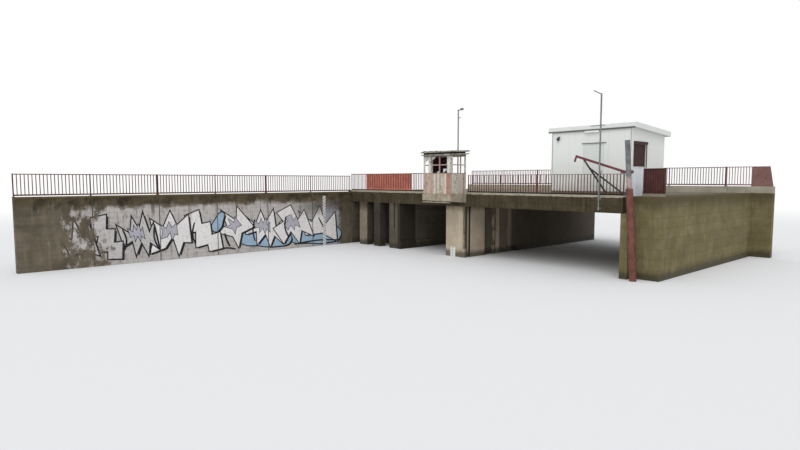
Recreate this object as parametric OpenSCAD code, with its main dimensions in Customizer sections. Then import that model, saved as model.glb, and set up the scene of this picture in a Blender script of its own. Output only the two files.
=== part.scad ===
// Sluice gate structure: two waterways under a bridge-like deck, an operator's booth
// over the central pier, a control house on the right end and a bank wall on the left.
// X runs along the deck to the right bank, Y runs with the flow, away from the front.
// Z = 0 is the lowest point where the walls and piers meet the water and the ground.

/* [Waterways] */
// Width of the wide right waterway
right_bay_w = 10000; // [8000:100:11000]
// Width of the narrow left waterway
left_bay_w = 4400; // [3600:100:5200]
// Width of the closed bays beside the left bank
left_side_w = 5480; // [5200:20:6000]
// Height of the deck's top above the foot of the walls
deck_z = 4000; // [3600:50:4600]
// Length of the deck with the flow
deck_l = 14300; // [12000:100:15000]

/* [Piers and walls] */
// Width of the central pier
pier_w = 1560; // [1400:20:1800]
// Length of the central pier with the flow
pier_l = 16500; // [16000:100:17000]
// Width of the left pier
left_pier_w = 1120; // [900:20:1300]
// Length of the left pier with the flow
left_pier_l = 1500; // [1300:50:1900]
// Width of the outer column beside the left bank
outer_column_w = 930; // [700:10:1000]
// Width of the inner column beside the left bank
inner_column_w = 690; // [500:10:760]
// Depth of the two columns with the flow
column_d = 520; // [400:10:800]
// Thickness of the walls of the left side
side_wall_t = 450; // [350:10:600]
// Width of the right abutment
right_abutment_w = 1720; // [1500:20:2000]
// Width of the column at the right abutment's front
corner_column_w = 400; // [300:10:500]
// Height of the foot ledge of the left waterway's wall
ledge_h = 570; // [400:10:800]
// Projection of the foot ledge
ledge_out = 70; // [40:5:120]

/* [Guides in the piers] */
// Distance of the stop-log slot from the pier's front
log_slot_y = 210; // [160:10:300]
// Width of the stop-log slot
log_slot_w = 260; // [180:10:320]
// Depth of the stop-log slot
log_slot_d = 130; // [80:10:200]
// Distance of the gate recess from the pier's front
gate_recess_y = 2020; // [1800:20:2200]
// Width of the gate recess
gate_recess_w = 960; // [800:20:1000]
// Depth of the gate recess
gate_recess_d = 240; // [150:10:300]
// Width of the guide pilaster behind the gate recess
pilaster_w = 510; // [480:10:600]
// Width of the guide groove in the pilaster
groove_w = 180; // [120:10:220]
// Depth of the guide groove
groove_d = 110; // [60:10:160]
// Height at which the guide groove starts
groove_z = 1500; // [1200:50:2000]

/* [Deck] */
// Height of the front and rear beams
beam_h = 810; // [700:10:900]
// Thickness of the front and rear beams
beam_t = 450; // [350:10:600]
// Thickness of the deck slab between the beams
slab_t = 380; // [300:10:500]
// Length of the deck's bearing on the walls at its ends
bearing_l = 80; // [60:10:200]
// Height of the kerb under the front railings
kerb_h = 60; // [40:5:80]
// Width of the kerb under the front railings
kerb_w = 260; // [240:10:300]
// Height of the kerb along the rear edge
rear_kerb_h = 420; // [300:10:480]
// Width of the kerb along the rear edge
rear_kerb_w = 300; // [250:10:400]

/* [Bank wall] */
// Length of one bay of the bank wall and its fence
wall_bay_l = 3600; // [3000:50:3700]
// Number of bays
wall_bays = 6; // [4:1:6]
// Thickness of the bank wall
wall_t = 450; // [350:10:600]
// Step of the wall's top below the deck's top
wall_step = 60; // [0:10:200]
// Width of the joint between two bays of the wall's face
wall_joint_w = 40; // [20:5:60]
// Length of the wing wall beyond the right abutment
wing_l = 1100; // [1050:10:1600]

/* [Fences] */
// Height of the front railing right of the booth
right_rail_h = 1060; // [1000:10:1200]
// Height of the front railing left of the booth
left_rail_h = 1220; // [1150:10:1400]
// Height of the fence on the bank wall
wall_fence_h = 1200; // [1000:10:1300]
// Height of the fence along the deck's rear edge
rear_fence_h = 1250; // [1100:10:1400]
// Spacing of the railing's bars
bar_pitch = 178; // [150:2:200]
// Width of a fence bar
bar_w = 38; // [20:1:50]
// Thickness of the bars and rails
bar_t = 24; // [16:1:32]
// Width of a fence post
post_w = 60; // [50:2:80]
// Height of the bottom rail
bottom_rail_h = 75; // [50:5:90]
// Height of the top rail
top_rail_h = 45; // [30:5:60]
// Height of the slim top rail of the right railing
slim_rail_h = 25; // [20:1:40]
// Gap under the bottom rail of the bank fence and the rear fence
rail_gap = 60; // [30:5:90]
// Distance of the railing's centre from the deck's edge
rail_inset = 150; // [130:5:200]
// Distance of the ribbed panel's left end from the bank wall's face
panel_from = 1600; // [1300:50:2000]
// Length of the ribbed panel
panel_l = 5100; // [4500:50:5400]
// Spacing of the panel's ribs
panel_pitch = 258; // [200:2:300]
// Length of the sheeted side fence
side_fence_l = 1100; // [800:10:1200]
// Height of the sheeted side fence
side_fence_h = 1390; // [1200:10:1500]
// Spacing of the side fence's ribs
side_pitch = 125; // [100:5:150]
// Thickness of the ribbed sheets
sheet_t = 6; // [3:1:10]
// Depth of the ribbed sheets' profile
sheet_d = 36; // [25:1:45]

/* [Booth] */
// Width of the booth along the deck
booth_w = 2350; // [2000:10:2600]
// Depth of the booth beyond the deck's edge
booth_d = 1480; // [1200:10:1700]
// Distance of the booth's right side from the pier's right face
booth_over = 120; // [0:10:200]
// Step of the parapet behind the floor's edges
booth_step = 50; // [30:5:80]
// Thickness of the booth's floor at its front
booth_floor_t = 400; // [320:10:460]
// Thickness of the booth's floor at the beam
booth_root_t = 530; // [480:10:650]
// Height of the parapet above the booth's floor
parapet_h = 1260; // [1100:10:1300]
// Thickness of the parapet
parapet_t = 110; // [80:5:160]
// Height of the window openings
booth_window_h = 1030; // [900:10:1200]
// Width of the booth's post at the front right corner
booth_post_w = 250; // [200:10:300]
// Width of the post between the front windows
booth_mid_post_w = 200; // [150:10:250]
// Distance of the post between the front windows from the left corner
booth_mid_post_at = 420; // [350:10:500]
// Width of the booth's slender posts
booth_slim_post_w = 80; // [60:5:110]
// Rise of the booth's roof towards the deck
booth_roof_rise = 70; // [0:5:120]
// Thickness of the lower slab of the booth's roof
booth_roof_low_t = 60; // [40:5:90]
// Height of the recess between the roof's slabs
booth_roof_gap = 95; // [60:5:120]
// Thickness of the upper slab of the booth's roof
booth_roof_top_t = 80; // [50:5:120]
// Overhang of the booth's roof
booth_eave = 110; // [60:10:160]
// Overhang of the booth's roof on its left side
booth_left_eave = 20; // [0:10:160]

/* [House] */
// Distance of the house's left wall from the pier's right face
house_from = 5070; // [4800:10:5300]
// Width of the house along the deck
house_w = 4550; // [4300:10:4700]
// Depth of the house
house_d = 3950; // [3600:10:4300]
// Distance of the house from the deck's front edge
house_setback = 1660; // [1500:10:2000]
// Thickness of the house walls
house_wall_t = 250; // [200:10:300]
// Thickness of the house floor
house_floor_t = 220; // [150:10:260]
// Height of the eave's underside above the deck at the front
eave_h = 3480; // [3300:10:3600]
// Fall of the roof from the front to the rear
roof_fall = 260; // [150:10:350]
// Thickness of the roof
house_roof_t = 240; // [180:10:280]
// Overhang of the roof
house_eave = 240; // [150:10:300]
// Overhang of the roof over the house's front
house_front_eave = 60; // [30:10:240]
// Distance of the doorway from the house's left wall
door_from = 1900; // [1600:10:2100]
// Width of the doorway
door_w = 1200; // [1000:10:1300]
// Height of the doorway
door_h = 2530; // [2100:10:2600]
// Distance of the side window from the house's front
window_from = 90; // [60:10:200]
// Width of the side window
window_w = 1400; // [1200:10:1500]
// Height of the side window's sill above the deck
window_sill = 1470; // [1300:10:1600]
// Height of the side window
window_h = 1200; // [1000:10:1300]

/* [Hoist frame and masts] */
// Diameter of the hoist post
hoist_post_d = 240; // [200:10:300]
// Diameter of the sleeve round the post's foot
hoist_sleeve_d = 330; // [300:10:360]
// Height of the sleeve's top
hoist_sleeve_h = 4400; // [4200:50:4600]
// Height of the hoist post
hoist_post_h = 6700; // [6300:50:7000]
// Lean of the hoist post towards the waterway
hoist_lean = 4.1; // [2:0.1:5]
// Length of the hoist's boom
boom_l = 2750; // [2400:10:2900]
// Slope of the boom
boom_slope = 17.5; // [14:0.5:20]
// Height of the boom's root above the deck
boom_root_h = 1165; // [1100:5:1300]
// Depth of the boom's section
boom_h = 110; // [90:5:140]
// Height of the tall mast's top above the deck
mast_h = 5070; // [4500:10:5500]
// Diameter of the tall mast
mast_d = 80; // [60:5:100]
// Distance between the tall mast's top and its cross bar
cross_bar_drop = 1560; // [1200:10:1800]
// Height of the camera mast's top above the deck
camera_mast_h = 5250; // [4800:10:5600]
// Diameter of the camera mast
camera_mast_d = 80; // [60:5:100]
// Distance between the camera mast's top and its bracket
camera_bracket_drop = 520; // [400:10:700]

/* [Gauges] */
// Height of the staff gauge on the bank wall
wall_gauge_h = 3660; // [3300:20:3800]
// Height of the staff gauge on the pier
pier_gauge_h = 600; // [500:10:800]

/* [Hidden] */
$fn = 48;

// Clearance between parts that are set against each other
gap = 6;

concrete = "#9c907c";
dark_concrete = "#5c5340";
mossy_concrete = "#6e6440";
rail_red = "#5a322d";
salmon = "#be6e5f";
white_wall = "#c8cbc4";
roof_grey = "#b9bab4";
shutter_brown = "#3c1e1b";
steel_grey = "#8a8d8e";
hoist_red = "#7d4441";
black_steel = "#231f1f";
gauge_white = "#e8e8e2";

// Faces across the waterways, from left to right
pier_right = pier_w / 2;
pier_left = -pier_w / 2;
left_face = pier_left - left_bay_w;
bank_face = left_face - left_side_w;
right_face = pier_right + right_bay_w;
right_end = right_face + right_abutment_w;
wing_right = right_end + wing_l;
deck_left = bank_face - bearing_l;
deck_right = right_face + bearing_l;
left_pier_back = left_face - left_pier_w;

// Levels
beam_z = deck_z - beam_h;
slab_z = deck_z - slab_t;
wall_top = deck_z - wall_step;
kerb_top = deck_z + kerb_h;

// The model's origin lies under the middle of the central pier
module placed() {
    translate([0, -pier_l / 2, 0]) children();
}

// A box from two opposite corners
module block(low, high) {
    translate(low) cube(high - low);
}

// Cuts shared by the walls that carry the deck's ends and edges
module deck_pockets() {
    block([deck_left, 0, beam_z], [deck_right, beam_t, deck_z + 1]);
    block([deck_left, deck_l - beam_t, beam_z], [deck_right, deck_l, deck_z + 1]);
    block([deck_left, 0, slab_z], [deck_right, deck_l, deck_z + 1]);
}

module left_end_wall() {
    color(dark_concrete) placed()
        difference() {
            block([bank_face - side_wall_t, 0, 0], [bank_face, deck_l, deck_z]);
            deck_pockets();
        }
}

module left_recess_wall() {
    color(dark_concrete) placed()
        block([bank_face, left_pier_l, 0],
              [left_pier_back, left_pier_l + side_wall_t, slab_z]);
}

module left_rear_wall() {
    color(dark_concrete) placed()
        difference() {
            block([bank_face, deck_l - side_wall_t, 0], [left_pier_back, deck_l, slab_z]);
            deck_pockets();
        }
}

// The wall of the narrow waterway, with a foot ledge along the water
module left_bay_wall() {
    color(concrete) placed()
        difference() {
            union() {
                block([left_pier_back, left_pier_l, 0], [left_face, deck_l, slab_z]);
                block([left_face - side_wall_t, left_pier_l, 0],
                      [left_face + ledge_out, deck_l, ledge_h]);
            }
            deck_pockets();
        }
}

// The left pier stands in the front plane and has one slot in its face
module left_pier() {
    slot_w = 130;
    slot_z = 1400;
    slot_x = left_pier_back + left_pier_w * 0.48;
    color(concrete) placed()
        difference() {
            union() {
                block([left_pier_back, 0, 0], [left_face, left_pier_l, slab_z]);
                block([left_face - side_wall_t, 0, 0],
                      [left_face + ledge_out, left_pier_l, ledge_h]);
            }
            deck_pockets();
            block([slot_x - slot_w / 2, -1, slot_z], [slot_x + slot_w / 2, slot_w, deck_z]);
        }
}

outer_column_x = bank_face + 960;
inner_column_x = outer_column_x + outer_column_w + 740;

module outer_column() {
    color(concrete) placed()
        difference() {
            block([outer_column_x, 0, 0],
                  [outer_column_x + outer_column_w, column_d, slab_z]);
            deck_pockets();
        }
}

module inner_column() {
    color(dark_concrete) placed()
        difference() {
            block([inner_column_x, 0, 0],
                  [inner_column_x + inner_column_w, column_d, slab_z]);
            deck_pockets();
        }
}

// Half of the guide cuts in a waterway's wall; the wall's face is x = 0 and the
// concrete lies on its left
module guide_cuts() {
    pilaster_y = gate_recess_y + gate_recess_w;
    second_recess_y = pilaster_y + pilaster_w;
    second_recess_l = 1810;
    groove_y = pilaster_y + (pilaster_w - groove_w) / 2;
    block([-log_slot_d, log_slot_y, -1], [1, log_slot_y + log_slot_w, deck_z]);
    block([-gate_recess_d, gate_recess_y, -1],
          [1, gate_recess_y + gate_recess_w, deck_z]);
    block([-groove_d, groove_y, groove_z], [1, groove_y + groove_w, deck_z]);
    block([-gate_recess_d / 2, second_recess_y, -1],
          [1, second_recess_y + second_recess_l, deck_z]);
}

// The central pier has a square front and a round tail beyond the deck
module central_pier() {
    color(concrete) placed()
        difference() {
            union() {
                block([pier_left, 0, 0], [pier_right, pier_l - pier_w / 2, slab_z]);
                translate([0, pier_l - pier_w / 2, 0])
                    cylinder(h = slab_z, d = pier_w);
            }
            deck_pockets();
            translate([pier_right, 0, 0]) guide_cuts();
            mirror([1, 0, 0]) translate([pier_right, 0, 0]) guide_cuts();
        }
}

// The right abutment carries the deck's end; its front is set back beside a corner column
// and a wing wall carries the end of the rear fence
module right_abutment() {
    setback = 500;
    color(mossy_concrete) placed()
        difference() {
            union() {
                block([right_face, 0, 0], [right_end, deck_l, deck_z]);
                block([right_face, deck_l - side_wall_t, 0], [wing_right, deck_l, deck_z]);
            }
            deck_pockets();
            block([right_face + corner_column_w, -1, -1],
                  [right_end + 1, setback, deck_z + 1]);
            block([right_face, -1, beam_z], [right_end + 1, setback, deck_z + 1]);
            translate([right_face, 0, 0]) mirror([1, 0, 0]) guide_cuts();
        }
}

module deck_slab() {
    color(dark_concrete) placed()
        block([deck_left, beam_t, slab_z], [deck_right, deck_l - beam_t, deck_z]);
}

module beam(y) {
    color(dark_concrete) placed()
        block([deck_left, y, beam_z], [deck_right, y + beam_t, deck_z]);
}

module front_beam() {
    beam(0);
}

module rear_beam() {
    beam(deck_l - beam_t);
}

wall_l = wall_bay_l * wall_bays;

module bank_wall() {
    joint_d = 25;
    color(concrete) placed()
        difference() {
            block([bank_face - wall_t, -wall_l, 0], [bank_face, 0, wall_top]);
            for (i = [1:wall_bays - 1])
                block([bank_face - joint_d, -i * wall_bay_l - wall_joint_w / 2, -1],
                      [bank_face + 1, -i * wall_bay_l + wall_joint_w / 2, wall_top + 1]);
        }
}

// Low kerbs along the deck's front edge, left and right of the booth
module front_kerb() {
    overrun = 300;
    color(concrete) placed() {
        block([bank_face - side_wall_t, 0, deck_z], [booth_left, kerb_w, kerb_top]);
        block([booth_right, 0, deck_z], [deck_right + overrun, kerb_w, kerb_top]);
    }
}

// High kerb along the deck's rear edge, over the abutment and its wing wall
module rear_kerb() {
    color(concrete) placed()
        block([bank_face - side_wall_t, deck_l - rear_kerb_w, deck_z],
              [wing_right, deck_l, deck_z + rear_kerb_h]);
}

// Flat outline of one fence bay: posts, two rails and upright bars
module fence_outline(length, height, low, top_h) {
    bars = floor((length - post_w) / bar_pitch);
    step = (length - post_w) / (bars + 1);
    square([post_w, height]);
    translate([length - post_w, 0]) square([post_w, height]);
    translate([0, low]) square([length, bottom_rail_h]);
    translate([0, height - top_h]) square([length, top_h]);
    for (i = [1:bars])
        translate([post_w / 2 + i * step - bar_w / 2, low])
            square([bar_w, height - low]);
}

// A run of equal bays along +X, standing on z = 0 with its middle on y = 0
module fence_run(length, height, bays, low = rail_gap, top_h = top_rail_h) {
    bay_l = (length - post_w) / bays;
    rotate([90, 0, 0])
        translate([0, 0, -bar_t / 2])
            linear_extrude(bar_t)
                for (i = [0:bays - 1])
                    translate([i * bay_l, 0])
                        fence_outline(bay_l + post_w, height, low, top_h);
}

// Line of a ribbed sheet's trapezoid profile, shifted by d across the sheet
function sheet_line(ribs, pitch, d) = [
    for (i = [0:ribs - 1], p = [[0.05, 0], [0.2, -1], [0.55, -1], [0.7, 0]])
        [(i + p[0]) * pitch, p[1] * (sheet_d - sheet_t) + d]
];

// Upright ribbed sheet from x = 0; its back is y = 0 and its ribs stand out to -Y
module ribbed_sheet(length, height, pitch) {
    ribs = floor(length / pitch);
    front = sheet_line(ribs, pitch, -sheet_t);
    back = sheet_line(ribs, pitch, 0);
    linear_extrude(height)
        polygon([[0, -sheet_t], each front, [ribs * pitch, -sheet_t], [ribs * pitch, 0],
                 each [for (i = [len(back) - 1:-1:0]) back[i]], [0, 0]]);
}

// Two bays of the bank fence, counted from the deck
module bank_fence(pair) {
    run_l = wall_l / 3;
    color(rail_red) placed()
        translate([bank_face - wall_t / 2, -run_l * (pair - 1), wall_top])
            rotate([0, 0, -90])
                fence_run(run_l - gap, wall_fence_h, wall_bays / 3);
}

module bank_fence_1() {
    bank_fence(1);
}

module bank_fence_2() {
    bank_fence(2);
}

module bank_fence_3() {
    bank_fence(3);
}

// Places of the front railing's ends
booth_right = pier_right + booth_over;
booth_left = booth_right - booth_w;
left_rail_x = bank_face - wall_t / 2;
panel_x = bank_face + panel_from;

// The left railing carries the ribbed panel in its middle
module left_railing() {
    color(rail_red) placed()
        translate([left_rail_x, rail_inset, kerb_top])
            fence_run(booth_left - gap - left_rail_x, left_rail_h, 4, 0);
}

// Ribbed sheet on the front of the left railing
module ribbed_panel() {
    panel_low = 70;
    color(salmon) placed()
        translate([panel_x, rail_inset - bar_t / 2, kerb_top + panel_low])
            ribbed_sheet(panel_l, left_rail_h - panel_low, panel_pitch);
}

right_rail_l = deck_right - booth_right - gap;

module right_railing(i) {
    run_l = right_rail_l / 2;
    color(rail_red) placed()
        translate([booth_right + gap + run_l * i, rail_inset, kerb_top])
            fence_run(run_l - gap, right_rail_h, 2, 0, slim_rail_h);
}

module right_railing_1() {
    right_railing(0);
}

module right_railing_2() {
    right_railing(1);
}

// A run of the rear fence, on the middle of the rear kerb
module rear_run(x, length, bays) {
    translate([x, deck_l - rear_kerb_w / 2, deck_z + rear_kerb_h])
        fence_run(length, rear_fence_h, bays);
}

module rear_fence(i) {
    run_l = (deck_right - deck_left) / 3;
    color(rail_red) placed()
        rear_run(deck_left + run_l * i, run_l - gap, 2);
}

module rear_fence_1() {
    rear_fence(0);
}

module rear_fence_2() {
    rear_fence(1);
}

module rear_fence_3() {
    rear_fence(2);
}

// The last bay of the rear fence, with a sheet panel and a sloping stay at its end
module rear_fence_4() {
    end_panel_l = 900;
    stay_run = 260;
    stay_w = 50;
    run_l = wing_right - 60 - end_panel_l - stay_run - deck_right;
    top = rear_fence_h;
    color(rail_red) placed() {
        rear_run(deck_right, run_l, 1);
        translate([deck_right + run_l, deck_l - rear_kerb_w / 2 + bar_t / 2,
                   deck_z + rear_kerb_h])
            rotate([90, 0, 0]) {
                linear_extrude(bar_t)
                    polygon([[-1, top - top_rail_h], [end_panel_l, top - top_rail_h],
                             [end_panel_l + stay_run - stay_w, 0], [end_panel_l + stay_run, 0],
                             [end_panel_l + stay_w, top], [-1, top]]);
                translate([0, 0, (bar_t - sheet_t) / 2])
                    linear_extrude(sheet_t)
                        polygon([[-1, 0], [end_panel_l + stay_run - stay_w / 2, 0],
                                 [end_panel_l, top - top_rail_h / 2],
                                 [-1, top - top_rail_h / 2]]);
            }
    }
}

// Sheeted fence between the house and the bank: two posts, a cap and a ribbed sheet
module side_fence() {
    plinth_h = 140;
    cap_h = 40;
    post_t = 50;
    color(rail_red) placed()
        translate([right_end - side_fence_l - 310, house_setback, deck_z]) {
            for (x = [0, side_fence_l - post_w])
                block([x, -post_t / 2, 0], [x + post_w, post_t / 2, side_fence_h - cap_h]);
            block([0, -post_t / 2, side_fence_h - cap_h],
                  [side_fence_l, post_t / 2, side_fence_h]);
            block([post_w - 1, -post_t / 2, 0],
                  [side_fence_l - post_w + 1, post_t / 2, plinth_h]);
            translate([post_w, sheet_d / 2, plinth_h])
                ribbed_sheet(side_fence_l - 2 * post_w, side_fence_h - plinth_h - cap_h,
                             (side_fence_l - 2 * post_w) / round((side_fence_l - 2 * post_w)
                             / side_pitch));
        }
}

// The booth's floor is a cantilever that thickens towards the beam
module booth_floor() {
    floor_z = deck_z - 40;
    color(concrete) placed()
        translate([booth_left, 0, 0])
            rotate([90, 0, 90])
                linear_extrude(booth_w)
                    polygon([[0, floor_z - booth_root_t], [0, floor_z],
                             [-booth_d, floor_z], [-booth_d, floor_z - booth_floor_t]]);
}

booth_floor_z = deck_z - 40;
sill_z = booth_floor_z + parapet_h;
lintel_z = sill_z + booth_window_h;
booth_roof_z = lintel_z + 70;

// Outer faces of the parapet and the posts
room_left = booth_left + booth_step;
room_right = booth_right - booth_step;
room_front = booth_step - booth_d;

// Three parapet walls around the front of the booth
module booth_parapet() {
    color("#b7a895") placed()
        difference() {
            block([room_left, room_front, booth_floor_z], [room_right, 0, sill_z]);
            block([room_left + parapet_t, room_front + parapet_t, booth_floor_z - 1],
                  [room_right - parapet_t, 1, sill_z + 1]);
        }
}

mid_post_x = room_left + booth_mid_post_at;

// Posts between the parapet and the roof: two stout ones at the front, slender ones
// at the left corner and at the rear
module booth_posts() {
    slim = booth_slim_post_w;
    color(concrete) placed() {
        for (p = [[room_right - booth_post_w, room_front, booth_post_w],
                  [mid_post_x, room_front, booth_mid_post_w],
                  [room_left, room_front, slim],
                  [room_left, -slim, slim],
                  [room_right - slim, -slim, slim]])
            block([p[0], p[1], sill_z], [p[0] + p[2], p[1] + p[2], lintel_z]);
    }
}

// A cross of window bars in each side: the mullions stand where the panes part
module booth_window_bars() {
    bar = 60;
    mid_z = (sill_z + lintel_z) / 2;
    pane_left = mid_post_x + booth_mid_post_w;
    pane_right = room_right - booth_post_w;
    mullion_x = (pane_left + pane_right - bar) / 2;
    pane_back = -booth_slim_post_w;
    mullion_y = -460;
    color("#a39a8c") placed() {
        block([mullion_x, room_front + bar, sill_z],
              [mullion_x + bar, room_front + 2 * bar, lintel_z]);
        block([pane_left, room_front + bar, mid_z - bar / 2],
              [pane_right, room_front + 2 * bar, mid_z + bar / 2]);
        for (side = [[room_left + bar / 2, booth_slim_post_w],
                     [room_right - 1.5 * bar, booth_post_w]]) {
            block([side[0], mullion_y, sill_z], [side[0] + bar, mullion_y + bar, lintel_z]);
            block([side[0], room_front + side[1], mid_z - bar / 2],
                  [side[0] + bar, pane_back, mid_z + bar / 2]);
        }
    }
}

// Painted steel sheets that close the left half of the rear and of the left window
module booth_sheets() {
    sheet_w = 850;
    side_w = 620;
    plate_t = 12;
    slim = booth_slim_post_w;
    inner_x = room_left + 90;
    color(rail_red) placed() {
        block([room_left + parapet_t, -30 - plate_t, booth_floor_z],
              [room_left + parapet_t + sheet_w, -30, lintel_z]);
        block([inner_x, -slim - side_w, sill_z], [inner_x + plate_t, -slim, lintel_z]);
    }
}

// Height of the roof's underside at y
function booth_roof_at(y) = booth_roof_z + booth_roof_rise * (1 + y / booth_d);

// One layer of the sloping roof, reaching over the room's edges by a given overhang
module roof_layer(over, from_h, to_h) {
    front = -booth_d - over;
    left_over = min(over, booth_left_eave);
    translate([booth_left - left_over, 0, 0])
        rotate([90, 0, 90])
            linear_extrude(booth_w + left_over + over)
                polygon([[front, booth_roof_at(front) + from_h],
                         [over, booth_roof_at(over) + from_h],
                         [over, booth_roof_at(over) + to_h],
                         [front, booth_roof_at(front) + to_h]]);
}

// Lintels over the windows and a roof of two slabs with a recess between them
module booth_roof() {
    recess_top = booth_roof_low_t + booth_roof_gap;
    color("#a8a293") placed() {
        difference() {
            block([room_left, room_front, lintel_z], [room_right, 0, booth_roof_at(0) + 1]);
            block([room_left + parapet_t, room_front + parapet_t, lintel_z - 1],
                  [room_right - parapet_t, -booth_slim_post_w, booth_roof_at(0) + 1]);
            roof_layer(booth_eave, 0, booth_roof_rise + booth_roof_low_t);
        }
        roof_layer(booth_eave, 0, booth_roof_low_t);
        roof_layer(-booth_step, booth_roof_low_t, recess_top);
        roof_layer(booth_eave + 20, recess_top, recess_top + booth_roof_top_t);
    }
}

// House faces
house_left = pier_right + house_from;
house_right = house_left + house_w;
house_front = house_setback;
house_rear = house_front + house_d;
house_floor_z = deck_z + house_floor_t;
eave_z = deck_z + eave_h;
door_x = house_left + door_from;
door_top = house_floor_z + door_h;

module house_floor() {
    color(concrete) placed()
        block([house_left, house_front, deck_z], [house_right, house_rear, house_floor_z]);
}

// The front and rear edges of the roof's underside, as y and height
roof_slope = roof_fall / house_d;
front_edge = [house_front - house_front_eave, eave_z + roof_slope * house_front_eave];
rear_edge = [house_rear + house_eave, eave_z - roof_fall - roof_slope * house_eave];

// Space under the sloping roof
module under_roof() {
    rotate([90, 0, 90])
        translate([0, 0, house_left - house_eave])
            linear_extrude(house_w + 2 * house_eave)
                polygon([[front_edge[0], house_floor_z], front_edge, rear_edge,
                         [rear_edge[0], house_floor_z]]);
}

module front_wall_left() {
    color(white_wall) placed()
        intersection() {
            under_roof();
            block([house_left, house_front, house_floor_z],
                  [door_x, house_front + house_wall_t, eave_z + house_wall_t]);
        }
}

module front_wall_right() {
    color(white_wall) placed()
        intersection() {
            under_roof();
            block([door_x + door_w, house_front, house_floor_z],
                  [house_right, house_front + house_wall_t, eave_z + house_wall_t]);
        }
}

module front_wall_top() {
    color(white_wall) placed()
        intersection() {
            under_roof();
            block([door_x, house_front, door_top],
                  [door_x + door_w, house_front + house_wall_t, eave_z + house_wall_t]);
        }
}

module side_wall_of_house(x) {
    intersection() {
        under_roof();
        block([x, house_front + house_wall_t, house_floor_z],
              [x + house_wall_t, house_rear - house_wall_t, eave_z + house_wall_t]);
    }
}

module house_left_wall() {
    color(white_wall) placed()
        side_wall_of_house(house_left);
}

window_y = house_front + house_wall_t + window_from;
window_z = deck_z + window_sill;

module house_right_wall() {
    color(white_wall) placed()
        difference() {
            side_wall_of_house(house_right - house_wall_t);
            block([house_right - house_wall_t - 1, window_y, window_z],
                  [house_right + 1, window_y + window_w, window_z + window_h]);
        }
}

module house_rear_wall() {
    color(white_wall) placed()
        intersection() {
            under_roof();
            block([house_left, house_rear - house_wall_t, house_floor_z],
                  [house_right, house_rear, eave_z + house_wall_t]);
        }
}

// Roof slab with the same slope as the walls' tops
module house_roof() {
    upright = [0, house_roof_t];
    color(roof_grey) placed()
        rotate([90, 0, 90])
            translate([0, 0, house_left - house_eave])
                linear_extrude(house_w + 2 * house_eave)
                    polygon([front_edge, rear_edge, rear_edge + upright,
                             front_edge + upright]);
}

// Steel door frame lining the doorway
frame_t = 40;
leaf_t = 50;
hinge_r = 12;
hinge_x = door_x + frame_t;
hinge_y = house_front - hinge_r - 2;
hinge_zs = [for (f = [0.12, 0.5, 0.88]) house_floor_z + door_h * f];
knuckle_h = 60;
hinge_plate = 34;
hinge_play = 0.3;

module door_frame() {
    color(white_wall) placed() {
        block([door_x, house_front, house_floor_z],
              [door_x + frame_t, house_front + house_wall_t, door_top]);
        block([door_x + door_w - frame_t, house_front, house_floor_z],
              [door_x + door_w, house_front + house_wall_t, door_top]);
        block([door_x, house_front, door_top - frame_t],
              [door_x + door_w, house_front + house_wall_t, door_top]);
        for (z = hinge_zs)
            translate([hinge_x, hinge_y, z - knuckle_h]) {
                cylinder(h = knuckle_h - hinge_play, r = hinge_r);
                block([-hinge_plate, -3, 0], [0, 3, knuckle_h - hinge_play]);
                block([-hinge_plate, -3, 0], [6 - hinge_plate, hinge_r + 3, knuckle_h - hinge_play]);
            }
    }
}

module house_door() {
    leaf_x = door_x + frame_t + gap;
    leaf_w = door_w - 2 * frame_t - 2 * gap;
    color(white_wall) placed() {
        block([leaf_x, house_front, house_floor_z + gap],
              [leaf_x + leaf_w, house_front + leaf_t, door_top - frame_t - gap]);
        for (z = hinge_zs)
            translate([hinge_x, hinge_y, z]) {
                cylinder(h = knuckle_h, r = hinge_r);
                block([0, -3, 0], [hinge_plate, 3, knuckle_h]);
                block([hinge_plate - 6, -3, 0], [hinge_plate, hinge_r + 3, knuckle_h]);
            }
    }
}

module door_handle() {
    handle_x = door_x + door_w - frame_t - 90;
    handle_z = house_floor_z + 1050;
    color(steel_grey) placed() {
        block([handle_x - 20, house_front - 8, handle_z - 110],
              [handle_x + 20, house_front, handle_z + 60]);
        translate([handle_x, house_front - 4, handle_z])
            rotate([90, 0, 0]) cylinder(h = 50, d = 20);
        translate([handle_x - 110, house_front - 54, handle_z])
            rotate([0, 90, 0]) cylinder(h = 120, d = 20);
    }
}

// Closed roller shutter in the side window
module side_shutter() {
    slat_h = 60;
    slats = floor(window_h / slat_h);
    color(shutter_brown) placed()
        for (i = [0:slats - 1])
            block([house_right - 90, window_y, window_z + i * slat_h],
                  [house_right - (i % 2 == 0 ? 60 : 66), window_y + window_w,
                   window_z + (i + 1) * slat_h]);
}

// Cabinet under the side window, standing on the deck
module cabinet() {
    cabinet_d = 130;
    cabinet_l = 880;
    cabinet_y = window_y - 60;
    color("#d3d8e0") placed()
        block([house_right, cabinet_y, deck_z],
              [house_right + cabinet_d, cabinet_y + cabinet_l, window_z]);
}

// Hoist frame at the right abutment: a leaning post, a sloping boom and two struts
hoist_foot_x = right_face + 800;
hoist_y = -hoist_sleeve_d / 2 - 30;
boom_root = [right_face + 90, deck_z + boom_root_h];
boom_y = 10;
boom_w = 80;

module leaning_pipe(d, h) {
    translate([hoist_foot_x, hoist_y, 0])
        rotate([0, -hoist_lean, 0])
            translate([0, 0, -100]) cylinder(h = h + 100, d = d);
}

module hoist_post() {
    color(hoist_red) placed()
        intersection() {
            union() {
                leaning_pipe(hoist_sleeve_d, hoist_sleeve_h);
                leaning_pipe(hoist_post_d, hoist_post_h);
            }
            translate([hoist_foot_x - 1000, hoist_y - 500, 0])
                cube([2000, 1000, hoist_post_h + 500]);
        }
}

// Frame of the boom: its root is the origin and it runs along -X
module along_boom() {
    translate([boom_root[0], boom_y, boom_root[1]])
        rotate([0, boom_slope, 0])
            children();
}

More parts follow.
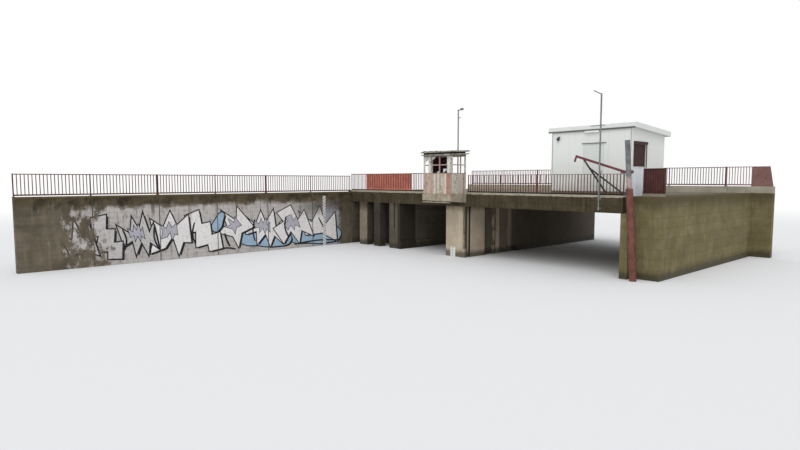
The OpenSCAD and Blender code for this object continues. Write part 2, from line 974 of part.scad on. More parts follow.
// The boom runs from a bracket round the post to a turned-down tip
module hoist_boom() {
    tip_l = 230;
    bracket_h = 140;
    bracket_back = 60;
    color(hoist_red) placed() {
        along_boom()
            rotate([90, 0, 0])
                translate([0, 0, -boom_w])
                    linear_extrude(boom_w)
                        polygon([[0, 0], [0, boom_h], [-boom_l, boom_h],
                                 [-boom_l, -tip_l], [-boom_l + 70, -tip_l],
                                 [-boom_l + 70, 0]]);
        difference() {
            block([boom_root[0] - bracket_back, hoist_y, boom_root[1] - 30],
                  [hoist_foot_x - 250, boom_y + boom_w - 10, boom_root[1] - 30 + bracket_h]);
            leaning_pipe(hoist_post_d + 0.6, hoist_post_h);
        }
    }
}

// Flat outline of one bar of the struts between two points
module strut(from, to, overrun) {
    strut_w = 60;
    rise = to[1] - from[1];
    run = to[0] - from[0];
    reach = sqrt(rise * rise + run * run);
    translate(from)
        rotate(-atan2(run, rise))
            translate([-strut_w / 2, -overrun]) square([strut_w, reach + 2 * overrun]);
}

// The long strut props the boom; the short one branches off it to the deck's end
module hoist_struts() {
    long_foot = [right_face - 720, kerb_top];
    long_top = [right_face - 1990, deck_z + boom_root_h + 600];
    branch = 0.2;
    branch_top = long_top + branch * (long_foot - long_top);
    short_foot = [right_face + 250, kerb_top - 40];
    plate_reach = [120, 50];
    plate_t = 30;
    color(black_steel) placed()
        translate([0, boom_y + boom_w, 0])
            rotate([90, 0, 0])
                linear_extrude(boom_w)
                    difference() {
                        union() {
                            strut(long_foot, long_top, 150);
                            strut(short_foot, branch_top, 0);
                            translate([short_foot[0] - plate_reach[0], kerb_top])
                                square([plate_reach[0] + plate_reach[1], plate_t]);
                        }
                        translate(boom_root)
                            rotate(-boom_slope)
                                translate([-2 * boom_l, 0]) square([3 * boom_l, boom_l]);
                        translate([left_face, kerb_top - 1000])
                            square([right_end - left_face, 1000]);
                    }
}

// Tall mast on the front face of the beam, with a bracket arm at its top
module tall_mast() {
    mast_x = right_face - 1140;
    arm_l = 460;
    arm_slope = 62;
    cross_bar_l = 760;
    color(steel_grey) placed() {
        translate([mast_x, -mast_d / 2 - 4, beam_z + 100])
            cylinder(h = mast_h + beam_h - 100, d = mast_d);
        block([mast_x - 30, -mast_d / 2 - 4, beam_z + 180],
              [mast_x + 30, 0, beam_z + 240]);
        block([mast_x - 30, -mast_d / 2 - 4, deck_z - 160],
              [mast_x + 30, 0, deck_z - 100]);
        translate([mast_x, -mast_d / 2 - 4, deck_z + mast_h - 40])
            rotate([0, -arm_slope, 0]) cylinder(h = arm_l, d = 50);
        translate([mast_x - 0.7 * cross_bar_l, -mast_d / 2 - 4, deck_z + mast_h - cross_bar_drop])
            rotate([0, 90, 0]) cylinder(h = cross_bar_l, d = 40);
    }
}

// Slender mast behind the booth with a bent head and a small bracket
module camera_mast() {
    mast_x = -350;
    mast_y = 600;
    color(steel_grey) placed()
        translate([mast_x, mast_y, deck_z]) {
            cylinder(h = 20, d = 260);
            cylinder(h = camera_mast_h, d = camera_mast_d);
            translate([0, 0, camera_mast_h - 60])
                rotate([0, 82, 0]) cylinder(h = 320, d = 50);
            translate([200, -70, camera_mast_h - 60]) cube([180, 140, 120]);
            translate([0, 0, camera_mast_h - camera_bracket_drop])
                rotate([0, 90, 0]) cylinder(h = 180, d = 50);
        }
}

// Staff gauges: a long one on the bank wall and a short plate on the pier
module gauge_boards() {
    wall_gauge_y = -2580;
    wall_gauge_w = 230;
    pier_gauge_x = -370;
    pier_gauge_w = 400;
    color(gauge_white) placed() {
        block([bank_face, wall_gauge_y - wall_gauge_w / 2, 0],
              [bank_face + 25, wall_gauge_y + wall_gauge_w / 2, wall_gauge_h]);
        block([pier_gauge_x, -20, 0], [pier_gauge_x + pier_gauge_w, 0, pier_gauge_h]);
    }
}

module dome_camera() {
    dome_camera_h = 2880;
    color(steel_grey) placed()
        translate([house_left + 400, house_front, house_floor_z + dome_camera_h]) {
            block([-60, -60, 0], [60, 0, 120]);
            translate([0, -110, -20]) sphere(d = 170);
        }
}

module eave_lamp() {
    color("#d8d8d4") placed()
        block([door_x + 100, house_front - 120, eave_z - 130],
              [door_x + 950, house_front, eave_z - 40]);
}

left_end_wall();
left_recess_wall();
left_rear_wall();
left_bay_wall();
left_pier();
outer_column();
inner_column();
central_pier();
right_abutment();
deck_slab();
front_beam();
rear_beam();
bank_wall();
bank_fence_1();
bank_fence_2();
bank_fence_3();
front_kerb();
rear_kerb();
left_railing();
ribbed_panel();
right_railing_1();
right_railing_2();
rear_fence_1();
rear_fence_2();
rear_fence_3();
rear_fence_4();
side_fence();
booth_floor();
booth_parapet();
booth_posts();
booth_window_bars();
booth_sheets();
booth_roof();
house_floor();
front_wall_left();
front_wall_right();
front_wall_top();
house_left_wall();
house_right_wall();
house_rear_wall();
house_roof();
door_frame();
house_door();
door_handle();
side_shutter();
cabinet();
hoist_post();
hoist_boom();
hoist_struts();
tall_mast();
camera_mast();
gauge_boards();
dome_camera();
eave_lamp();
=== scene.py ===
"""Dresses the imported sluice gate: finishes, wall paint, boards, trims, fittings and a stage."""

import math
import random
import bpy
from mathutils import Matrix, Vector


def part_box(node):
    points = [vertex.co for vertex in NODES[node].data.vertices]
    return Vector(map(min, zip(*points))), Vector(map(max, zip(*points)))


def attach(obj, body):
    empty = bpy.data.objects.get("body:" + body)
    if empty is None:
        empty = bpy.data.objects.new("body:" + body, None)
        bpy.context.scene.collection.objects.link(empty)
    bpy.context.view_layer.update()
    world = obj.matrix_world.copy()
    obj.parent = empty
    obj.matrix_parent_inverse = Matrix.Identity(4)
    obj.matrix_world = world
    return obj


bl_info = {
    "name": "Sluice Gate Dressing",
    "version": (1, 0, 0),
    "blender": (4, 5, 0),
    "location": "View3D > Sidebar > Sluice Gate",
    "description": "Adds finishes, wall paint, boards, trims, fittings and a stage to the sluice gate",
    "category": "Object",
}

import bpy
from bpy.props import FloatProperty, FloatVectorProperty, IntProperty, PointerProperty
from bpy.types import Operator, Panel, PropertyGroup
from mathutils import Matrix, Vector

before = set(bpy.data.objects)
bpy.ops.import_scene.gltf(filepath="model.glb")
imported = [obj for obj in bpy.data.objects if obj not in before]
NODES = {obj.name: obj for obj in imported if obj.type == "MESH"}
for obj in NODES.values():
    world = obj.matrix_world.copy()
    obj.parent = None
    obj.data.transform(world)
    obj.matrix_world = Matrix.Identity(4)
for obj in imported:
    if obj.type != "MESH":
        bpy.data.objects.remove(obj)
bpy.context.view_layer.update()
STRUCTURE = "structure"
DOOR = "door"

# Levels of the structure, read from the frame
DECK_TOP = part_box("deck_slab")[1].z
BEAM_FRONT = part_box("front_beam")[0].y
BEAM_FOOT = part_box("front_beam")[0].z
WALL_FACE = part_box("bank_wall")[1].x
WALL_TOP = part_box("bank_wall")[1].z
PIER_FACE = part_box("central_pier")[1].x
ABUTMENT_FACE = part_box("right_abutment")[0].x

# Bays of the bank wall between its joints
WALL_BAYS = 6

# The booth's roof: its rise per metre, and the middle and half height over the posts of the recess
# between its slabs, where shade is painted
BOOTH_ROOF_SLOPE = 0.0473
BOOTH_RECESS_SHADE = (0.18, 0.05)

# The guide slots in the waterways' walls, as distances behind the beam's front
LOG_SLOT = (0.21, 0.47)
GATE_SLOT = (2.03, 2.99)

# The stage: the floor's middle and radius, the distances between which it fades to white,
# and the camera's place
FLOOR_MIDDLE = (0, -8)
FLOOR_RADIUS = 420
FLOOR_FADE = (34.0, 90.0)
CAMERA_PLACE = (23.69, -34.45)


def screen(red, green, blue):
    """A colour seen on a screen, 0 to 255 each, as the linear colour that a shader takes."""

    def linear(value):
        share = value / 255
        return share / 12.92 if share <= 0.04045 else ((share + 0.055) / 1.055) ** 2.4

    return (linear(red), linear(green), linear(blue), 1.0)


# Sizes and colours


def length_setting(name, description, default, least, most):
    return FloatProperty(
        name=name, description=description, default=default, min=least, max=most, unit="LENGTH")


class SluiceSizes(PropertyGroup):
    board_width: length_setting(
        "Board Width", "Width of a board of the booth's cladding", 0.15, 0.08, 0.3)
    board_thickness: length_setting(
        "Board Thickness", "Thickness of the booth's cladding", 0.018, 0.005, 0.04)
    paint_outline: length_setting(
        "Paint Outline", "Width of the dark line around a painted shape", 0.07, 0.02, 0.15)
    bolt_sides: IntProperty(
        name="Bolt Sides", description="Corners of a bolt head", default=6, min=5, max=12)
    camera_lens: FloatProperty(
        name="Camera Lens", description="Focal length of the camera", default=25.2,
        min=15, max=80, unit="CAMERA")
    camera_height: length_setting(
        "Camera Height", "Height of the camera above the foot", 4.813, 1.0, 40.0)
    camera_pitch: FloatProperty(
        name="Camera Pitch", description="Angle of the camera below the horizon",
        default=math.radians(4.584), subtype="ANGLE")
    camera_heading: FloatProperty(
        name="Camera Heading", description="Turn of the camera to the left of +Y",
        default=math.radians(47.765), subtype="ANGLE")


def colour_setting(name, description, default):
    """A colour setting; its default is given as a colour on a screen."""
    return FloatVectorProperty(
        name=name, description=description, subtype="COLOR", size=4, default=screen(*default),
        min=0, max=1)


class SluiceColours(PropertyGroup):
    pier: colour_setting("Pier", "Concrete of the piers", (196, 181, 158))
    beam: colour_setting("Beam", "Concrete of the deck's edge beams", (76, 67, 51))
    wall: colour_setting("Wall", "Bare concrete of the bank wall", (116, 106, 90))
    wall_paint: colour_setting("Wall Paint", "Pale ground of the painted wall", (202, 196, 192))
    railing: colour_setting("Railing", "Paint of the railings and fences", (88, 38, 37))
    ribbed: colour_setting("Ribbed Panel", "Paint of the ribbed panel", (168, 98, 82))
    render: colour_setting("House Render", "Render of the control house", (232, 234, 229))
    shutter: colour_setting("Shutter", "Paint of the shutter", (60, 32, 26))
    hoist: colour_setting("Hoist", "Red-brown paint of the hoist", (106, 60, 50))


# Shader tools

BUMP_STRENGTH = 0.6


class Bench:
    """Places nodes in one node tree and joins them."""

    def __init__(self, tree):
        self.tree = tree

    def feed(self, socket, value):
        if isinstance(value, bpy.types.NodeSocket):
            self.tree.links.new(value, socket)
        else:
            socket.default_value = value

    def add(self, kind, feeds=None, **settings):
        node = self.tree.nodes.new(kind)
        for name, value in settings.items():
            setattr(node, name, value)
        for name, value in (feeds or {}).items():
            self.feed(node.inputs[name], value)
        return node

    def math(self, operation, *values, clamp=False):
        node = self.add("ShaderNodeMath", operation=operation, use_clamp=clamp)
        for socket, value in zip(node.inputs, values):
            self.feed(socket, value)
        return node.outputs[0]

    def plus(self, first, second):
        return self.math("ADD", first, second)

    def minus(self, first, second):
        return self.math("SUBTRACT", first, second)

    def times(self, first, second):
        return self.math("MULTIPLY", first, second)

    def over(self, first, second):
        return self.math("DIVIDE", first, second)

    def vector(self, operation, *values):
        node = self.add("ShaderNodeVectorMath", operation=operation)
        for socket, value in zip(node.inputs, values):
            self.feed(socket, value)
        return node.outputs[0]

    def mix(self, share, first, second, mode="MIX"):
        node = self.add("ShaderNodeMix", data_type="RGBA", blend_type=mode)
        self.feed(node.inputs[0], share)
        self.feed(node.inputs[6], first)
        self.feed(node.inputs[7], second)
        return node.outputs[2]

    def ramp(self, value, low, high, to_low=0.0, to_high=1.0):
        feeds = {"Value": value, "From Min": low, "From Max": high,
                 "To Min": to_low, "To Max": to_high}
        return self.add("ShaderNodeMapRange", feeds, interpolation_type="SMOOTHSTEP").outputs[0]

    def noise(self, vector, scale, detail=4.0, rough=0.55, distortion=0.0):
        feeds = {"Vector": vector, "Scale": scale, "Detail": detail, "Roughness": rough,
                 "Distortion": distortion}
        return self.add("ShaderNodeTexNoise", feeds).outputs[0]

    def parts(self, vector):
        return self.add("ShaderNodeSeparateXYZ", {0: vector}).outputs

    def point(self, x, y, z):
        return self.add("ShaderNodeCombineXYZ", {0: x, 1: y, 2: z}).outputs[0]

    def use(self, group, **feeds):
        node = self.add("ShaderNodeGroup", node_tree=bpy.data.node_groups[group])
        for name, value in feeds.items():
            self.feed(node.inputs[name.replace("_", " ").title()], value)
        return node.outputs


def empty_tree(owner):
    """The node tree of a new material or world, without its first nodes."""
    owner.use_nodes = True
    owner.node_tree.nodes.clear()
    return owner.node_tree


def new_effect(name, inputs, outputs):
    """Starts a shader node group; returns its bench, its input sockets and its output sockets.

    An input without a value takes a vector."""
    group = bpy.data.node_groups.new(name, "ShaderNodeTree")
    for label, value in inputs.items():
        kind = "NodeSocketVector" if value is None else "NodeSocketFloat"
        socket = group.interface.new_socket(name=label, in_out="INPUT", socket_type=kind)
        if value is not None:
            socket.default_value = value
    for label in outputs:
        group.interface.new_socket(name=label, in_out="OUTPUT", socket_type="NodeSocketFloat")
    entry = group.nodes.new("NodeGroupInput").outputs
    leave = group.nodes.new("NodeGroupOutput").inputs
    return Bench(group), entry, leave


def make_patches():
    """Large uneven patches and a fine grain."""
    bench, entry, leave = new_effect(
        "Patches", {"Vector": None, "Size": 1.0}, ["Patches", "Spots", "Grain"])
    wide = bench.over(1.0, entry["Size"])
    bench.feed(leave["Patches"], bench.ramp(
        bench.noise(entry["Vector"], wide, 5.0, 0.6, 0.4), 0.36, 0.66))
    close = bench.times(wide, 7.0)
    bench.feed(leave["Spots"], bench.ramp(
        bench.noise(entry["Vector"], close, 5.0, 0.65, 0.3), 0.5, 0.7))
    bench.feed(leave["Grain"], bench.noise(entry["Vector"], 38.0, 5.0, 0.7))


def make_streaks():
    """Rain streaks that run down a surface."""
    bench, entry, leave = new_effect(
        "Streaks", {"Vector": None, "Width": 0.08, "Length": 1.5, "Share": 0.5}, ["Streaks"])
    across = bench.over(1.0, entry["Width"])
    down = bench.over(1.0, entry["Length"])
    stretched = bench.vector("MULTIPLY", entry["Vector"], bench.point(across, across, down))
    field = bench.noise(stretched, 1.0, 3.0, 0.6, 0.2)
    low = bench.minus(0.72, bench.times(entry["Share"], 0.36))
    high = bench.plus(low, 0.16)
    bench.feed(leave["Streaks"], bench.ramp(field, low, high))


def make_above():
    """Mask of what lies above a height, with a ragged edge."""
    bench, entry, leave = new_effect(
        "Above", {"Vector": None, "Height": 1.0, "Fade": 0.3, "Ragged": 0.3}, ["Above"])
    stretched = bench.vector("MULTIPLY", entry["Vector"], (2.2, 2.2, 0.7))
    field = bench.minus(bench.noise(stretched, 1.0, 6.0, 0.65), 0.5)
    wobble = bench.times(field, bench.times(entry["Ragged"], 2.0))
    level = bench.plus(bench.parts(entry["Vector"])[2], wobble)
    over = bench.minus(level, entry["Height"])
    bench.feed(leave["Above"], bench.math(
        "ADD", bench.math("DIVIDE", over, entry["Fade"]), 0.5, clamp=True))


def make_courses():
    """Marks of shutter boards: a thin joint at each board's edge and a tone for each board."""
    bench, entry, leave = new_effect(
        "Courses", {"Along": 0.0, "Board": 0.2}, ["Joint", "Tone"])
    count = bench.over(entry["Along"], entry["Board"])
    share = bench.math("FRACT", count)
    edge = bench.math("ABSOLUTE", bench.minus(share, 0.5))
    bench.feed(leave["Joint"], bench.ramp(edge, 0.45, 0.495))
    pick = bench.add("ShaderNodeTexWhiteNoise", {"W": bench.math("FLOOR", count)},
                     noise_dimensions="1D")
    bench.feed(leave["Tone"], pick.outputs[0])


def make_rust():
    """Rust blooms and small pits in old paint."""
    bench, entry, leave = new_effect(
        "Rust", {"Vector": None, "Size": 0.2, "Share": 0.4}, ["Rust", "Depth"])
    scale = bench.over(1.0, entry["Size"])
    field = bench.noise(entry["Vector"], scale, 8.0, 0.72, 0.5)
    low = bench.minus(0.74, bench.times(entry["Share"], 0.3))
    bench.feed(leave["Rust"], bench.ramp(field, low, bench.plus(low, 0.08)))
    bench.feed(leave["Depth"], bench.noise(
        entry["Vector"], bench.times(scale, 6.0), 4.0, 0.7))


def make_within():
    """Soft mask of a box-shaped place."""
    bench, entry, leave = new_effect(
        "Within", {"Vector": None, "Centre": None, "Reach": None, "Fade": 0.1}, ["Within"])
    away = bench.vector("ABSOLUTE", bench.vector("SUBTRACT", entry["Vector"], entry["Centre"]))
    over = bench.parts(bench.vector("SUBTRACT", away, entry["Reach"]))
    most = bench.math("MAXIMUM", bench.math("MAXIMUM", over[0], over[1]), over[2])
    fade = bench.over(most, entry["Fade"])
    bench.feed(leave["Within"], bench.math("SUBTRACT", 1.0, fade, clamp=True))


class Finish(Bench):
    """One material: a colour that is worked up layer by layer over object coordinates."""

    def __init__(self, name, tint, roughness, metallic=0.0, specular=0.35):
        super().__init__(empty_tree(bpy.data.materials.new(name)))
        self.place = self.add("ShaderNodeTexCoord").outputs["Object"]
        self.tint = tint
        self.shader = self.add(
            "ShaderNodeBsdfPrincipled",
            {"Roughness": roughness, "Metallic": metallic, "Specular IOR Level": specular})
        self.add("ShaderNodeOutputMaterial", {"Surface": self.shader.outputs[0]})

    def patches(self, size):
        return self.use("Patches", vector=self.place, size=size)

    def streaks(self, width, length, share):
        return self.use(
            "Streaks", vector=self.place, width=width, length=length, share=share)["Streaks"]

    def above(self, height, fade, ragged):
        return self.use(
            "Above", vector=self.place, height=height, fade=fade, ragged=ragged)["Above"]

    def below(self, height, fade, ragged):
        return self.minus(1.0, self.above(height, fade, ragged))

    def courses(self, axis, board):
        return self.use("Courses", along=self.parts(self.place)[axis], board=board)

    def rust(self, size, share):
        return self.use("Rust", vector=self.place, size=size, share=share)

    def within(self, centre, reach, fade, stretch, detail, rough, wander):
        """Soft mask of a box-shaped place whose sides wander."""
        field = self.noise(self.vector("MULTIPLY", self.place, stretch), 1.0, detail, rough)
        wobble = self.times(self.minus(field, 0.5), wander)
        shifted = self.vector("ADD", self.place, self.point(0.0, wobble, wobble))
        return self.use("Within", vector=shifted, centre=centre, reach=reach, fade=fade)["Within"]

    def lay(self, mask, tint, strength=1.0):
        """Lays a tint over the colour so far, where the mask says so."""
        if strength != 1.0:
            mask = self.times(mask, strength)
        self.tint = self.mix(mask, self.tint, tint)

    def flake(self, size, share, deep, light, strength):
        """Lays rust or flakes in two tones; returns their masks."""
        rust = self.rust(size, share)
        self.lay(rust["Rust"], self.mix(rust["Depth"], deep, light), strength)
        return rust

    def end(self, height, distance, roughness=None):
        """Hands the colour, the bump and the roughness to the shader."""
        bump = self.add("ShaderNodeBump", {"Height": height, "Distance": distance,
                                           "Strength": BUMP_STRENGTH})
        self.feed(self.shader.inputs["Normal"], bump.outputs[0])
        self.feed(self.shader.inputs["Base Color"], self.tint)
        if roughness is not None:
            self.feed(self.shader.inputs["Roughness"], roughness)


def shade(colour, factor):
    """The same colour, darker or lighter."""
    return (*[min(1.0, part * factor) for part in colour[:3]], 1.0)


def concrete(name, base, patch_size=1.6, board=0.0, boards_along=2, top=None, top_colour=None,
             streak_share=0.45, moss=0.0, foot=0.35, pale=1.25, dark=0.55, painted_shades=()):
    """Old concrete: patches, rain streaks, board marks, a dark top, a damp foot, and painted shade
    laid in given soft boxes.
    """
    finish = Finish(name, shade(base, dark + 0.3), roughness=0.93, specular=0.2)
    patches = finish.patches(patch_size)
    finish.lay(patches["Patches"], shade(base, 1.08))
    finish.lay(patches["Spots"], shade(base, pale), 0.4)
    height = patches["Grain"]
    if board:
        courses = finish.courses(boards_along, board)
        finish.lay(courses["Tone"], shade(base, 0.5), 0.22)
        finish.lay(courses["Joint"], shade(base, 0.35), 0.35)
        height = finish.minus(height, finish.times(courses["Joint"], 0.8))
    finish.lay(finish.streaks(0.16, 2.4, streak_share), shade(base, dark), 0.55)
    if top is not None:
        finish.lay(finish.above(top, 0.5, 0.5), top_colour, 0.85)
    if moss:
        finish.lay(finish.patches(0.7)["Patches"], screen(92, 88, 44), moss)
    damp = finish.below(foot, 0.25, 0.25)
    finish.lay(damp, screen(52, 50, 36), 0.75)
    # Painted shade: each given box is darkened where shade falls, in recesses, on side faces and under
    # the deck
    for centre, reach, fade, strength, shade_tint in painted_shades:
        spot = finish.within(centre, reach, fade, (3.0, 3.0, 1.2), 5.0, 0.65, 0.3)
        finish.lay(spot, shade_tint, strength)
    finish.end(height, 0.012, finish.minus(0.95, finish.times(damp, 0.35)))


def worn_end(finish):
    """How far the paint is gone, in patches that close up towards the wall's far end."""
    place = finish.place
    field = finish.noise(finish.vector("MULTIPLY", place, (1.0, 1.0, 0.7)), 1.3, 8.0, 0.72)
    far = finish.ramp(finish.parts(place)[1], BEAM_FRONT - 14.5, BEAM_FRONT - 21.0, 0.0, 0.32)
    return finish.ramp(finish.plus(field, far), 0.62, 0.74)


def bare_wall(finish, bare):
    """Makes the bank wall's bare concrete the finish's colour; returns its patches."""
    finish.tint = shade(bare, 0.58)
    patches = finish.patches(1.8)
    finish.lay(patches["Patches"], shade(bare, 1.08))
    finish.lay(finish.patches(0.5)["Patches"], shade(bare, 0.5), 0.45)
    finish.lay(finish.streaks(0.3, 3.5, 0.5), shade(bare, 1.35), 0.35)
    return patches


def crusted(finish):
    """Lays the bank wall's dark, dripping top crust over the colour."""
    axes = finish.parts(finish.place)
    crust = finish.mix(finish.patches(1.1)["Patches"], screen(48, 42, 30), screen(100, 88, 66))
    upper = finish.times(finish.above(3.35, 0.4, 0.85), 0.92)
    near = finish.ramp(axes[1], BEAM_FRONT - 6.0, BEAM_FRONT - 2.5, 0.0, 0.8)
    lower = finish.times(finish.above(2.6, 0.7, 0.9), near)
    finish.lay(finish.math("MAXIMUM", upper, lower), crust)
    drips = finish.ramp(axes[2], 1.6, 3.3, 0.0, 0.75)
    finish.lay(finish.streaks(0.22, 3.0, 0.42), crust, drips)


def bank_wall_finish(name, bare, paint):
    """The bank wall: dark weathered top, a pale painted ground and a bare grey end."""
    finish = Finish(name, bare, roughness=0.92, specular=0.2)
    patches = bare_wall(finish, bare)
    near_end = BEAM_FRONT - 1.4
    far_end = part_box("bank_wall")[0].y - 1.0
    painted = finish.within((WALL_FACE, (near_end + far_end) / 2, 1.5),
                            (0.2, (near_end - far_end) / 2, 1.7), 0.25, (1.0, 0.9, 1.6), 6.0,
                            0.62, 1.3)
    ground = finish.mix(patches["Spots"], paint, shade(paint, 0.62))
    near = finish.ramp(finish.parts(finish.place)[1], BEAM_FRONT - 5.5, BEAM_FRONT - 2.0, 0.0, 0.6)
    ground = finish.mix(near, ground, screen(150, 166, 184))
    left = finish.minus(1.0, worn_end(finish))
    finish.lay(finish.times(painted, left), ground, 0.85)
    finish.lay(finish.streaks(0.12, 1.4, 0.5), screen(84, 74, 56), 0.4)
    crusted(finish)
    joints = finish.courses(2, 0.27)["Joint"]
    finish.lay(joints, screen(70, 62, 50), 0.3)
    finish.end(finish.minus(patches["Grain"], joints), 0.01)


def wall_spray(name, colour, worn, bare):
    """Faded spray paint over concrete, with spots worn through."""
    finish = Finish(name, colour, roughness=0.8, specular=0.25)
    bare_wall(finish, bare)
    under = finish.tint
    finish.tint = colour
    patches = finish.patches(0.9)
    finish.lay(patches["Patches"], shade(colour, 0.78), 0.35)
    finish.lay(patches["Spots"], screen(126, 118, 106), worn)
    finish.lay(finish.streaks(0.09, 0.8, 0.4), screen(98, 88, 72), worn * 0.7)
    finish.lay(worn_end(finish), under)
    crusted(finish)
    finish.end(patches["Grain"], 0.004)


def old_paint(name, base, rust_share, rust_size, painted_shadow_below=None, streaky=0.3, fade=0.3):
    """Weathered paint on steel: uneven tone, rust blooms, rain streaks, and a painted black shadow
    along the foot if asked.
    """
    roughness = 0.62
    finish = Finish(name, base, roughness)
    patches = finish.patches(0.6)
    finish.lay(patches["Patches"], shade(base, 1.5), fade)
    finish.lay(finish.streaks(0.05, 0.6, 0.45), shade(base, 0.5), streaky)
    rust = finish.flake(rust_size, rust_share, screen(70, 32, 20), screen(134, 70, 36), 0.8)
    if painted_shadow_below is not None:
        # Painted shadow: a black band along the foot
        finish.lay(finish.below(painted_shadow_below, 0.01, 0.004), screen(30, 24, 22))
    finish.end(finish.plus(rust["Depth"], patches["Grain"]), 0.0015,
               finish.plus(roughness, finish.times(rust["Rust"], 0.3)))


def ribbed_paint(name, base, node, pitch, rust_share=0.3, plinth=0.0):
    """Paint on a ribbed sheet: painted shade in the valleys so the crests read lighter, a darker top
    band and a paler foot.
    """
    low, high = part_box(node)
    finish = Finish(name, shade(base, 0.95), roughness=0.6)
    across = finish.minus(finish.parts(finish.place)[0], low.x)
    share = finish.math("FRACT", finish.over(across, pitch))
    away = finish.math("ABSOLUTE", finish.minus(share, 0.375))
    patches = finish.patches(0.5)
    finish.lay(patches["Patches"], shade(base, 1.45))
    # Painted shade: the valleys between the ribs are darkened
    finish.lay(finish.ramp(away, 0.16, 0.34), shade(base, 0.42), 0.85)
    finish.lay(finish.streaks(0.07, 0.7, 0.5), shade(base, 0.5), 0.3)
    finish.lay(finish.above(high.z - 0.07, 0.05, 0.03), shade(base, 0.4), 0.6)
    finish.lay(finish.below(low.z + 0.09, 0.06, 0.05), shade(base, 1.7), 0.5)
    finish.lay(finish.rust(0.16, rust_share)["Rust"], screen(104, 52, 34), 0.7)
    if plinth:
        finish.lay(finish.below(low.z + plinth, 0.01, 0.005), screen(150, 144, 128))
    finish.end(patches["Grain"], 0.0015)


def render_coat(name, base):
    """Smooth render of the house: faint panel joints, light streaks and a dirty foot."""
    finish = Finish(name, base, roughness=0.72)
    patches = finish.patches(1.2)
    finish.lay(patches["Patches"], shade(base, 0.93), 0.5)
    finish.lay(finish.streaks(0.1, 1.8, 0.3), screen(168, 166, 156), 0.14)
    finish.lay(finish.below(DECK_TOP + 0.35, 0.5, 0.3), screen(150, 146, 128), 0.28)
    finish.lay(finish.courses(0, 1.15)["Joint"], shade(base, 0.6), 0.12)
    finish.end(patches["Grain"], 0.002)


def zinc(name, base):
    """Dull galvanised steel."""
    finish = Finish(name, base, roughness=0.5, metallic=0.55)
    patches = finish.patches(0.15)
    finish.lay(patches["Patches"], shade(base, 0.7))
    finish.lay(finish.rust(0.3, 0.15)["Rust"], screen(108, 78, 56), 0.4)
    finish.end(patches["Grain"], 0.0008, finish.ramp(patches["Grain"], 0.2, 0.8, 0.4, 0.65))


def boards_finish(name):
    """Peeling boards: each board's own tone, pale paint, red undercoat and grey wood."""
    finish = Finish(name, screen(166, 154, 134), roughness=0.85, specular=0.25)
    for attribute, tint in (("board_shade", (214, 208, 196)), ("board_red", (176, 124, 106))):
        share = finish.add("ShaderNodeAttribute", attribute_name=attribute).outputs["Fac"]
        finish.lay(share, screen(*tint))
    grain = finish.noise(finish.vector("MULTIPLY", finish.place, (60.0, 60.0, 3.0)), 1.0, 4.0, 0.6)
    finish.lay(finish.ramp(grain, 0.45, 0.75, 0.0, 0.3), screen(118, 100, 84))
    peeled = finish.flake(0.25, 0.75, screen(146, 92, 72), screen(120, 106, 90), 0.55)
    finish.lay(finish.streaks(0.05, 0.5, 0.45), screen(92, 80, 66), 0.3)
    finish.end(finish.plus(grain, peeled["Depth"]), 0.003)


def spotted_plaster(name, base):
    """Whitewash that has flaked off in dark spots down to the brown plaster."""
    finish = Finish(name, base, roughness=0.9, specular=0.2)
    patches = finish.patches(0.3)
    finish.lay(patches["Patches"], shade(base, 0.82))
    flaked = finish.flake(0.14, 0.7, screen(66, 52, 46), screen(120, 100, 86), 0.85)
    finish.lay(finish.streaks(0.06, 0.5, 0.5), screen(88, 76, 66), 0.35)
    finish.end(finish.minus(patches["Grain"], flaked["Rust"]), 0.006)


def booth_roof_finish(name):
    """The booth's roof: pale slab edges and painted shade that darkens the recess between the two
    slabs.
    """
    finish = Finish(name, screen(124, 118, 106), roughness=0.92, specular=0.2)
    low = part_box("booth_roof")[0]
    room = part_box("booth_posts")
    patches = finish.patches(0.3)
    finish.lay(patches["Patches"], screen(184, 178, 166))
    finish.lay(finish.streaks(0.07, 0.4, 0.6), screen(84, 76, 66), 0.6)
    axes = finish.parts(finish.place)
    climb = finish.times(finish.minus(axes[1], low.y), BOOTH_ROOF_SLOPE)
    level = finish.minus(finish.minus(axes[2], climb), room[1].z)
    middle, half = BOOTH_RECESS_SHADE
    away = finish.math("ABSOLUTE", finish.minus(level, middle))
    # Painted shade: the recess between the slabs is darkened almost to black
    finish.lay(finish.ramp(away, half + 0.012, half - 0.012), screen(34, 30, 30), 0.9)
    finish.end(patches["Grain"], 0.005)


def hoist_finish(name, red):
    """The hoist's post: grey above, pinkish near the deck and red-brown below."""
    finish = Finish(name, shade(red, 0.7), roughness=0.6)
    patches = finish.patches(0.35)
    finish.lay(patches["Patches"], shade(red, 1.25))
    finish.lay(patches["Spots"], screen(150, 112, 104), 0.45)
    middle = finish.mix(patches["Patches"], screen(138, 118, 114), screen(172, 154, 150))
    upper = finish.mix(patches["Patches"], screen(88, 90, 92), screen(134, 136, 136))
    finish.lay(finish.above(DECK_TOP + 0.42, 0.1, 0.12), middle)
    finish.lay(finish.above(DECK_TOP + 0.95, 0.2, 0.15), upper)
    rust = finish.rust(0.22, 0.5)
    finish.lay(rust["Rust"], screen(86, 46, 34), 0.55)
    finish.end(finish.plus(rust["Depth"], patches["Grain"]), 0.002)


def gauge_finish(name):
    """White enamel, grey and chipped in places."""
    finish = Finish(name, screen(226, 226, 220), roughness=0.4)
    finish.lay(finish.patches(0.3)["Spots"], screen(186, 184, 174))
    rust = finish.rust(0.1, 0.35)
    finish.lay(rust["Rust"], screen(122, 100, 80), 0.6)
    finish.end(rust["Depth"], 0.001)


